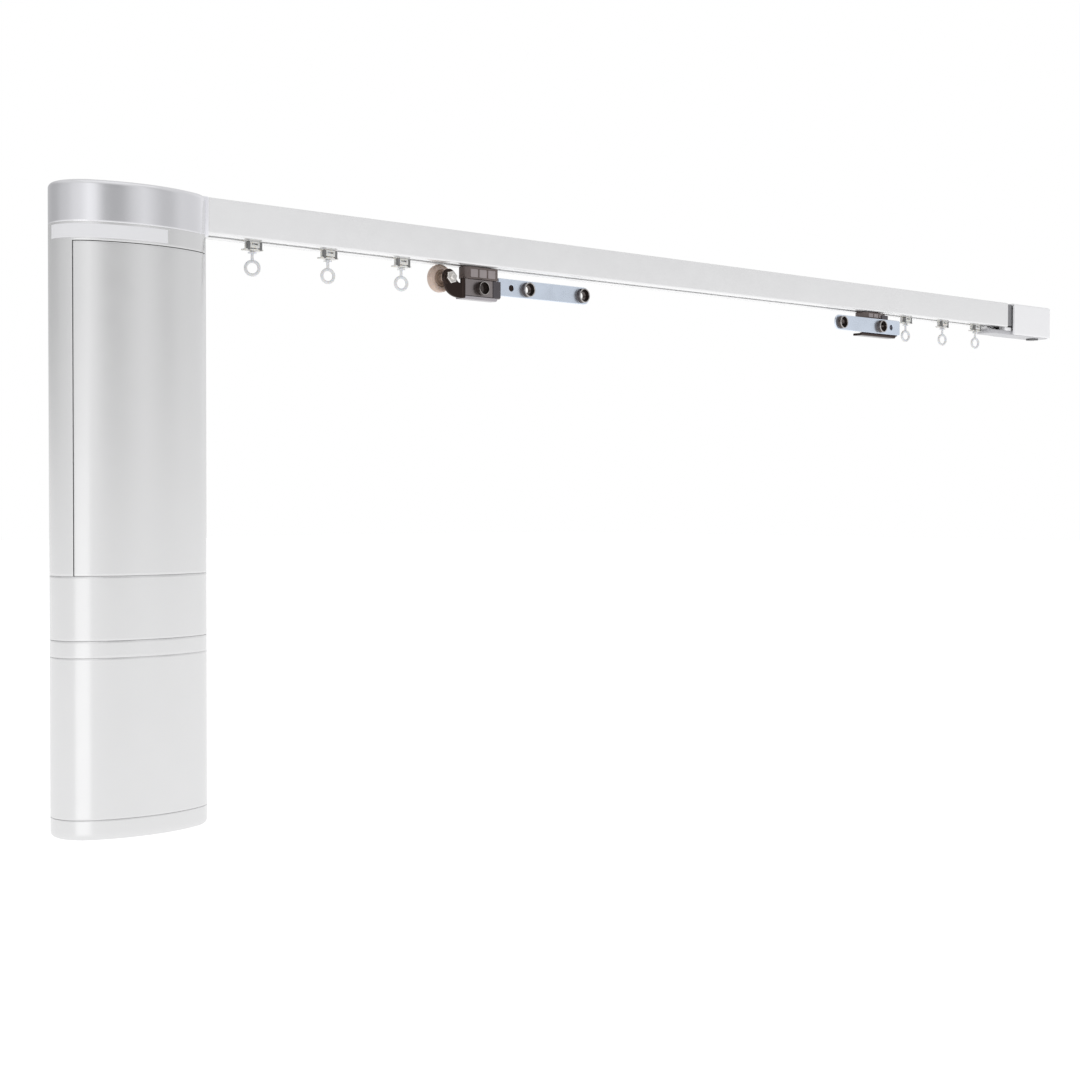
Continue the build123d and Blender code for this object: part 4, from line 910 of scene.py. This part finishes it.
def curve_points(first, pull_first, pull_last, last, steps):
    """Points on a smooth curve drawn from first to last by two pulls."""
    points = []
    for step in range(steps + 1):
        t = step / steps
        s = 1 - t
        points.append(tuple(s**3 * a + 3 * s * s * t * b + 3 * s * t * t * c + t**3 * d
                            for a, b, c, d in zip(first, pull_first, pull_last, last)))
    return points


def folded_lip(x_low, x_high, y_front, y_back, level, thickness):
    """The foot of a plate, folded under it towards the wall."""
    section = [(y_front, level + 0.4), (y_front, level)]
    section += [on_circle(y_front + thickness, level, -thickness, angle)
                for angle in range(15, 91, 15)]
    section += [(y_back - 0.3, level - thickness), (y_back, level - thickness + 0.3),
                (y_back, level - 0.3), (y_back - 0.3, level), (y_front + thickness, level),
                (y_front + thickness, level + 0.4)]
    rings = [[Vector((x, y, z)) for y, z in section]
             for x in (x_low, x_low + 0.4, x_high - 0.4, x_high)]
    return cleaned(skin(rings, first_lid=True, last_lid=True), 25.0)


def make_plate_screw():
    """A hollow screw head that stands out of the plate like a short barrel."""
    place = (screw_x, left_bracket_y - bracket_depth / 2, screw_level)
    barrel = turned([(0.0, 0.5), (3.05, 0.5), (3.1, 2.45), (3.2, 2.7), (3.45, 2.8), (3.7, 2.7),
                     (3.8, 2.45), (3.8, 0.0), (1.65, 0.0), (1.65, -5.4), (1.3, -5.7), (0.0, -5.7)],
                    facing_room, place)
    # A thin ring of lighter nickel at the barrel's lip: painted highlight
    glint = turned([(3.3, 2.6), (3.32, 2.8), (3.45, 2.86), (3.58, 2.8), (3.6, 2.6), (3.3, 2.6)],
                   facing_room, place)
    set_piece("plate_screw_head", "dark_nickel", "left_carrier",
              [(barrel, "rivet_dark"), (glint, "rim_nickel")], "left_plate_screw")


def arm_outline(root, side, tab):
    """Overlap arm from its root to its rounded tip, which lies on one side (1 or -1) along X."""
    tip = root + side * arm_length
    corners = [(tip, arm_low, 4.3), (tip, arm_high, 4.3)]
    if tab:
        corners += [(root, arm_high, 0.3), (root, arm_high - 2.3, 0.3),
                    (root - side * tab, arm_high - 2.3, 0.3), (root - side * tab, arm_low, 0.3)]
    else:
        corners += [(root, arm_high, 0.9), (root, arm_low, 0.9)]
    return rounded(corners)


def arm_holes(root, side):
    return [circle(root + side * reach, rivet_level, radius)
            for reach, radius in ((hole_x, 1.8), (rivet_x, 2.86), (rivet_x + rivet_step, 2.86))]


def make_arms():
    left_holes = arm_holes(left_arm_root, 1) + [circle(screw_x, screw_level, 1.75)]
    left = plate(arm_outline(left_arm_root, 1, 19.0), left_holes, arm_depth, 0.22, facing_room,
                 (0.0, left_arm_y, 0.0))
    plug = turned([(0.0, 0.3), (1.4, 0.3), (1.75, 0.1), (1.75, -0.5), (0.0, -0.5)], facing_room,
                  (left_arm_root + hole_x, left_arm_y, rivet_level), 28)
    set_piece("left_arm_plate", "zinc_blue", "left_carrier",
              [(left, "zinc_blue"), (plug, "bracket_brown")], "left_overlap_arm")
    right = plate(arm_outline(right_arm_root, -1, 0.0), arm_holes(right_arm_root, -1), arm_depth,
                  0.22, facing_room, (0.0, right_arm_y, 0.0))
    set_plain("right_arm_plate", "zinc_blue", "right_carrier", right, "right_overlap_arm")


def make_rivets():
    """Hollow rivets: a dark barrel that stands out of the arm and a rolled rim round its cup,
    whose lighter nickel is a painted highlight.
    """
    barrel = [(2.1, 0.8), (3.4, 0.8), (3.4, 2.4), (3.85, 2.4), (4.0, 2.2), (4.0, 0.3), (4.15, 0.0),
              (2.8, 0.0), (2.8, -1.2), (4.5, -1.2), (4.6, -1.4), (4.5, -1.6), (2.1, -1.6),
              (2.1, 0.8)]
    rim = [(3.4, 2.2), (3.4, 2.42), (3.5, 2.56), (3.7, 2.62), (3.9, 2.56), (4.02, 2.4),
           (4.02, 2.2), (3.4, 2.2)]
    for name, root, side, y in (("left", left_arm_root, 1, left_arm_y),
                                ("right", right_arm_root, -1, right_arm_y)):
        start = (root + side * rivet_x, y - arm_depth / 2, rivet_level)
        step = (side * rivet_step, 0.0, 0.0)
        parts = [row_of(turned(barrel, facing_room), "rivet_dark", 2, start, step),
                 row_of(turned(rim, facing_room), "rim_nickel", 2, start, step)]
        set_piece(f"{name}_hollow_rivets", "dark_nickel", f"{name}_carrier", parts,
                  f"{name}_rivets")


def make_support_wheel():
    tyre = turned([(4.4, 0.9), (4.9, 0.15), (5.5, 0.0), (6.3, 0.1), (7.0, 0.45), (7.35, 1.1),
                   (7.4, 2.4), (7.35, 3.7), (7.0, 4.35), (6.3, 4.7), (5.5, 4.8), (2.2, 4.8),
                   (1.56, 4.6), (1.56, 0.9), (4.4, 0.9)], facing_room, (wheel_x, 6.4, wheel_level),
                  64)
    tyre.transform(Matrix.Translation((0.0, 8.0, 0.0)) @ Matrix.Diagonal((1.0, -1.0, 1.0, 1.0)))
    form = bmesh.new()
    form.from_mesh(tyre)
    tyre = cleaned(form, 28.0)
    hub = turned([(1.56, 0.1), (3.0, 0.1), (3.2, 0.35), (4.3, 0.35), (4.42, 0.1), (4.42, -0.3),
                  (1.56, -0.3), (1.56, 0.1)], facing_room, (wheel_x, 2.45, wheel_level), 48)
    set_piece("support_wheel_tyre", "wheel_beige", "left_support",
              [(tyre, "wheel_beige"), (hub, "wheel_hub")], "left_support_wheel")
    hexagon = [on_circle(wheel_x, wheel_level, 3.46, angle) for angle in range(15, 375, 60)]
    nut = plate(hexagon, [circle(wheel_x, wheel_level, 1.45, 28)], 2.4, 0.35, facing_room,
                (0.0, -5.7, 0.0))
    bolt = turned([(0.0, 3.2), (1.0, 3.15), (1.45, 2.75), (1.5, 2.4), (1.5, -1.4), (3.0, -1.5),
                   (3.0, -6.0), (1.5, -6.0), (1.5, -11.0), (3.0, -11.0), (3.0, -12.2),
                   (2.7, -12.5), (0.0, -12.5)], facing_room, (wheel_x, -4.5, wheel_level))
    set_piece("wheel_bolt", "bright_nickel", "left_carrier",
              [(nut, "bright_nickel"), (bolt, "bright_nickel")], "left_wheel_axle")


def make_right_bracket():
    low, top, tab_top = -32.4, -21.7, -19.05
    outline = rounded([(552.0, low, 0.3), (590.5, low, 1.5), (590.5, top, 0.6), (579.5, top, 0.2),
                       (579.5, tab_top, 0.4), (573.0, tab_top, 0.4), (573.0, top, 0.2),
                       (552.0, top, 0.3)])
    # The whole face is in the painted-shadow copy of the nickel
    face = plate(outline, [circle(right_arm_root - rivet_x, rivet_level, 4.65)], bracket_depth,
                 0.25, facing_room, (0.0, right_bracket_y, 0.0))
    # The right bracket's fold takes the near-black finish as painted shade
    lip = folded_lip(550.5, 588.3, right_bracket_y - bracket_depth / 2, -1.1, -32.2, bracket_depth)
    set_piece("right_bracket_plate", "dark_nickel", "right_carrier",
              [(face, "bracket_shadow"), (lip, "bracket_brown")], "right_bracket")


for make in (make_housing, make_collar, make_shell, make_panel, make_blank_strip, make_bands,
             make_battery, make_latch_ribs, make_rail, make_return_end, make_axle_head,
             make_gliders, make_eyelets):
    make()
make_block("left_clamp", "left_carrier", "left_clamp_block", 204.2, 227.2, -5.0, 2.4, -24.2,
           [(207.2, 227.2, -1.75, 1.2, -33.6, -24.0)])
make_block("right_clamp", "right_carrier", "right_clamp_block", 557.0, 578.0, -6.6, 3.2, -21.6, [])
for make in (make_left_bracket, make_plate_screw, make_arms, make_rivets, make_support_wheel,
             make_right_bracket):
    make()


# Camera, light and floor

camera_place = Vector((-0.4727, -0.7657, -0.1431))
camera_heading, camera_pitch, camera_roll = math.radians(46.11), math.radians(1.189), -0.0012
sensor_width, focal_pixels, photo_pixels = 36.0, 1899.0, 1080.0


def set_camera():
    up = Vector((0.0, 0.0, 1.0))
    level = Vector((math.cos(camera_heading), math.sin(camera_heading), 0.0))
    side = level.cross(up)
    forward = level * math.cos(camera_pitch) - up * math.sin(camera_pitch)
    upright = up * math.cos(camera_pitch) + level * math.sin(camera_pitch)
    right = side * math.cos(camera_roll) - upright * math.sin(camera_roll)
    top = upright * math.cos(camera_roll) + side * math.sin(camera_roll)
    data = bpy.data.cameras.new("camera")
    data.sensor_width = sensor_width
    data.lens = sensor_width * focal_pixels / photo_pixels
    data.clip_start = 0.01
    camera = new_piece("camera", data)
    turn = Matrix((right, top, -forward)).transposed().to_4x4()
    camera.matrix_world = Matrix.Translation(camera_place) @ turn
    bpy.context.scene.camera = camera


floor_half, floor_level = 25.0, -0.75
floor_grey = 0.80
floor_glow, floor_glow_seen = 0.46, 0.60


def seen_by_camera(tree):
    return tree.nodes.new("ShaderNodeLightPath").outputs["Is Camera Ray"]


def set_floor():
    corners = [(x * floor_half, y * floor_half, floor_level)
               for x, y in ((-1, -1), (1, -1), (1, 1), (-1, 1))]
    mesh = bpy.data.meshes.new("studio_floor")
    mesh.from_pydata(corners, [], [(0, 1, 2, 3)])
    floor = new_piece("studio_floor", mesh)
    material, tree, shader = new_material("floor_paper")
    set_inputs(shader, {"Base Color": (floor_grey, floor_grey, floor_grey, 1.0),
                        "Emission Color": (1.0, 1.0, 1.0, 1.0), "Roughness": 0.9,
                        "Specular IOR Level": 0.0})
    glow = mapped(tree, seen_by_camera(tree), 0.0, 1.0, floor_glow, floor_glow_seen)
    tree.links.new(glow, shader.inputs["Emission Strength"])
    mesh.materials.append(material)


# Brightness of the studio walls, by direction in degrees from +X towards +Y
wall_glow = [
    (-180, 0.66), (-164, 0.76), (-150, 0.80), (-140, 0.84), (-128, 0.92), (-118, 1.00),
    (-106, 0.98), (-102, 0.80), (-98, 0.46), (-92, 0.44), (-84, 0.46), (-77, 0.66), (-66, 0.84),
    (-58, 0.70), (-50, 0.57), (-42, 0.57), (-36, 0.68), (-31, 0.75), (-24, 0.72), (-14, 0.74),
    (4, 0.90), (40, 0.78), (85, 0.54), (118, 0.48), (138, 0.50), (158, 0.60), (180, 0.66),
]
wall_tint = 1.01
ground_glow, ceiling_glow, seen_glow = 0.92, 0.75, 1.0
walls_start, walls_full = -0.02, 0.10
ceiling_start, ceiling_full = 0.35, 0.8


def set_studio():
    world = bpy.data.worlds.new("studio")
    bpy.context.scene.world = world
    world.use_nodes = True
    tree = world.node_tree
    parts = tree.nodes.new("ShaderNodeSeparateXYZ")
    direction = tree.nodes.new("ShaderNodeTexCoord").outputs["Generated"]
    tree.links.new(direction, parts.inputs["Vector"])
    turn = tree.nodes.new("ShaderNodeMath")
    turn.operation = "ARCTAN2"
    link(tree, (parts, "Y", turn, 0), (parts, "X", turn, 1))
    around = mapped(tree, turn.outputs["Value"], -math.pi, math.pi)
    walls = ramp(tree, around, [((angle + 180.0) / 360.0, (glow, glow, glow * wall_tint))
                                for angle, glow in wall_glow])
    height = parts.outputs["Z"]
    low = mixed(tree, mapped(tree, height, walls_start, walls_full, smooth=True), ground_glow,
                walls)
    lit = mixed(tree, mapped(tree, height, ceiling_start, ceiling_full, smooth=True), low,
                ceiling_glow)
    seen = mixed(tree, seen_by_camera(tree), lit, seen_glow)
    tree.links.new(seen, tree.nodes["Background"].inputs["Color"])


def add_panel(name, place, target, width, height, power):
    data = bpy.data.lights.new(name, "AREA")
    data.shape = "RECTANGLE"
    data.size = width
    data.size_y = height
    data.energy = power
    light = new_piece(name, data)
    light.visible_camera = False
    aim = (Vector(target) - Vector(place)).to_track_quat("-Z", "Y")
    light.matrix_world = Matrix.Translation(place) @ aim.to_matrix().to_4x4()


set_camera()
set_floor()
set_studio()
add_panel("overhead_soft_light", (0.3, -0.6, 2.6), (0.3, 0.0, -0.2), 3.0, 2.0, 3.0)
add_panel("low_left_light", (-1.25, -1.05, -0.50), (0.0, 0.0, -0.25), 1.3, 0.9, 1.1)
bpy.context.scene.view_settings.view_transform = "Standard"
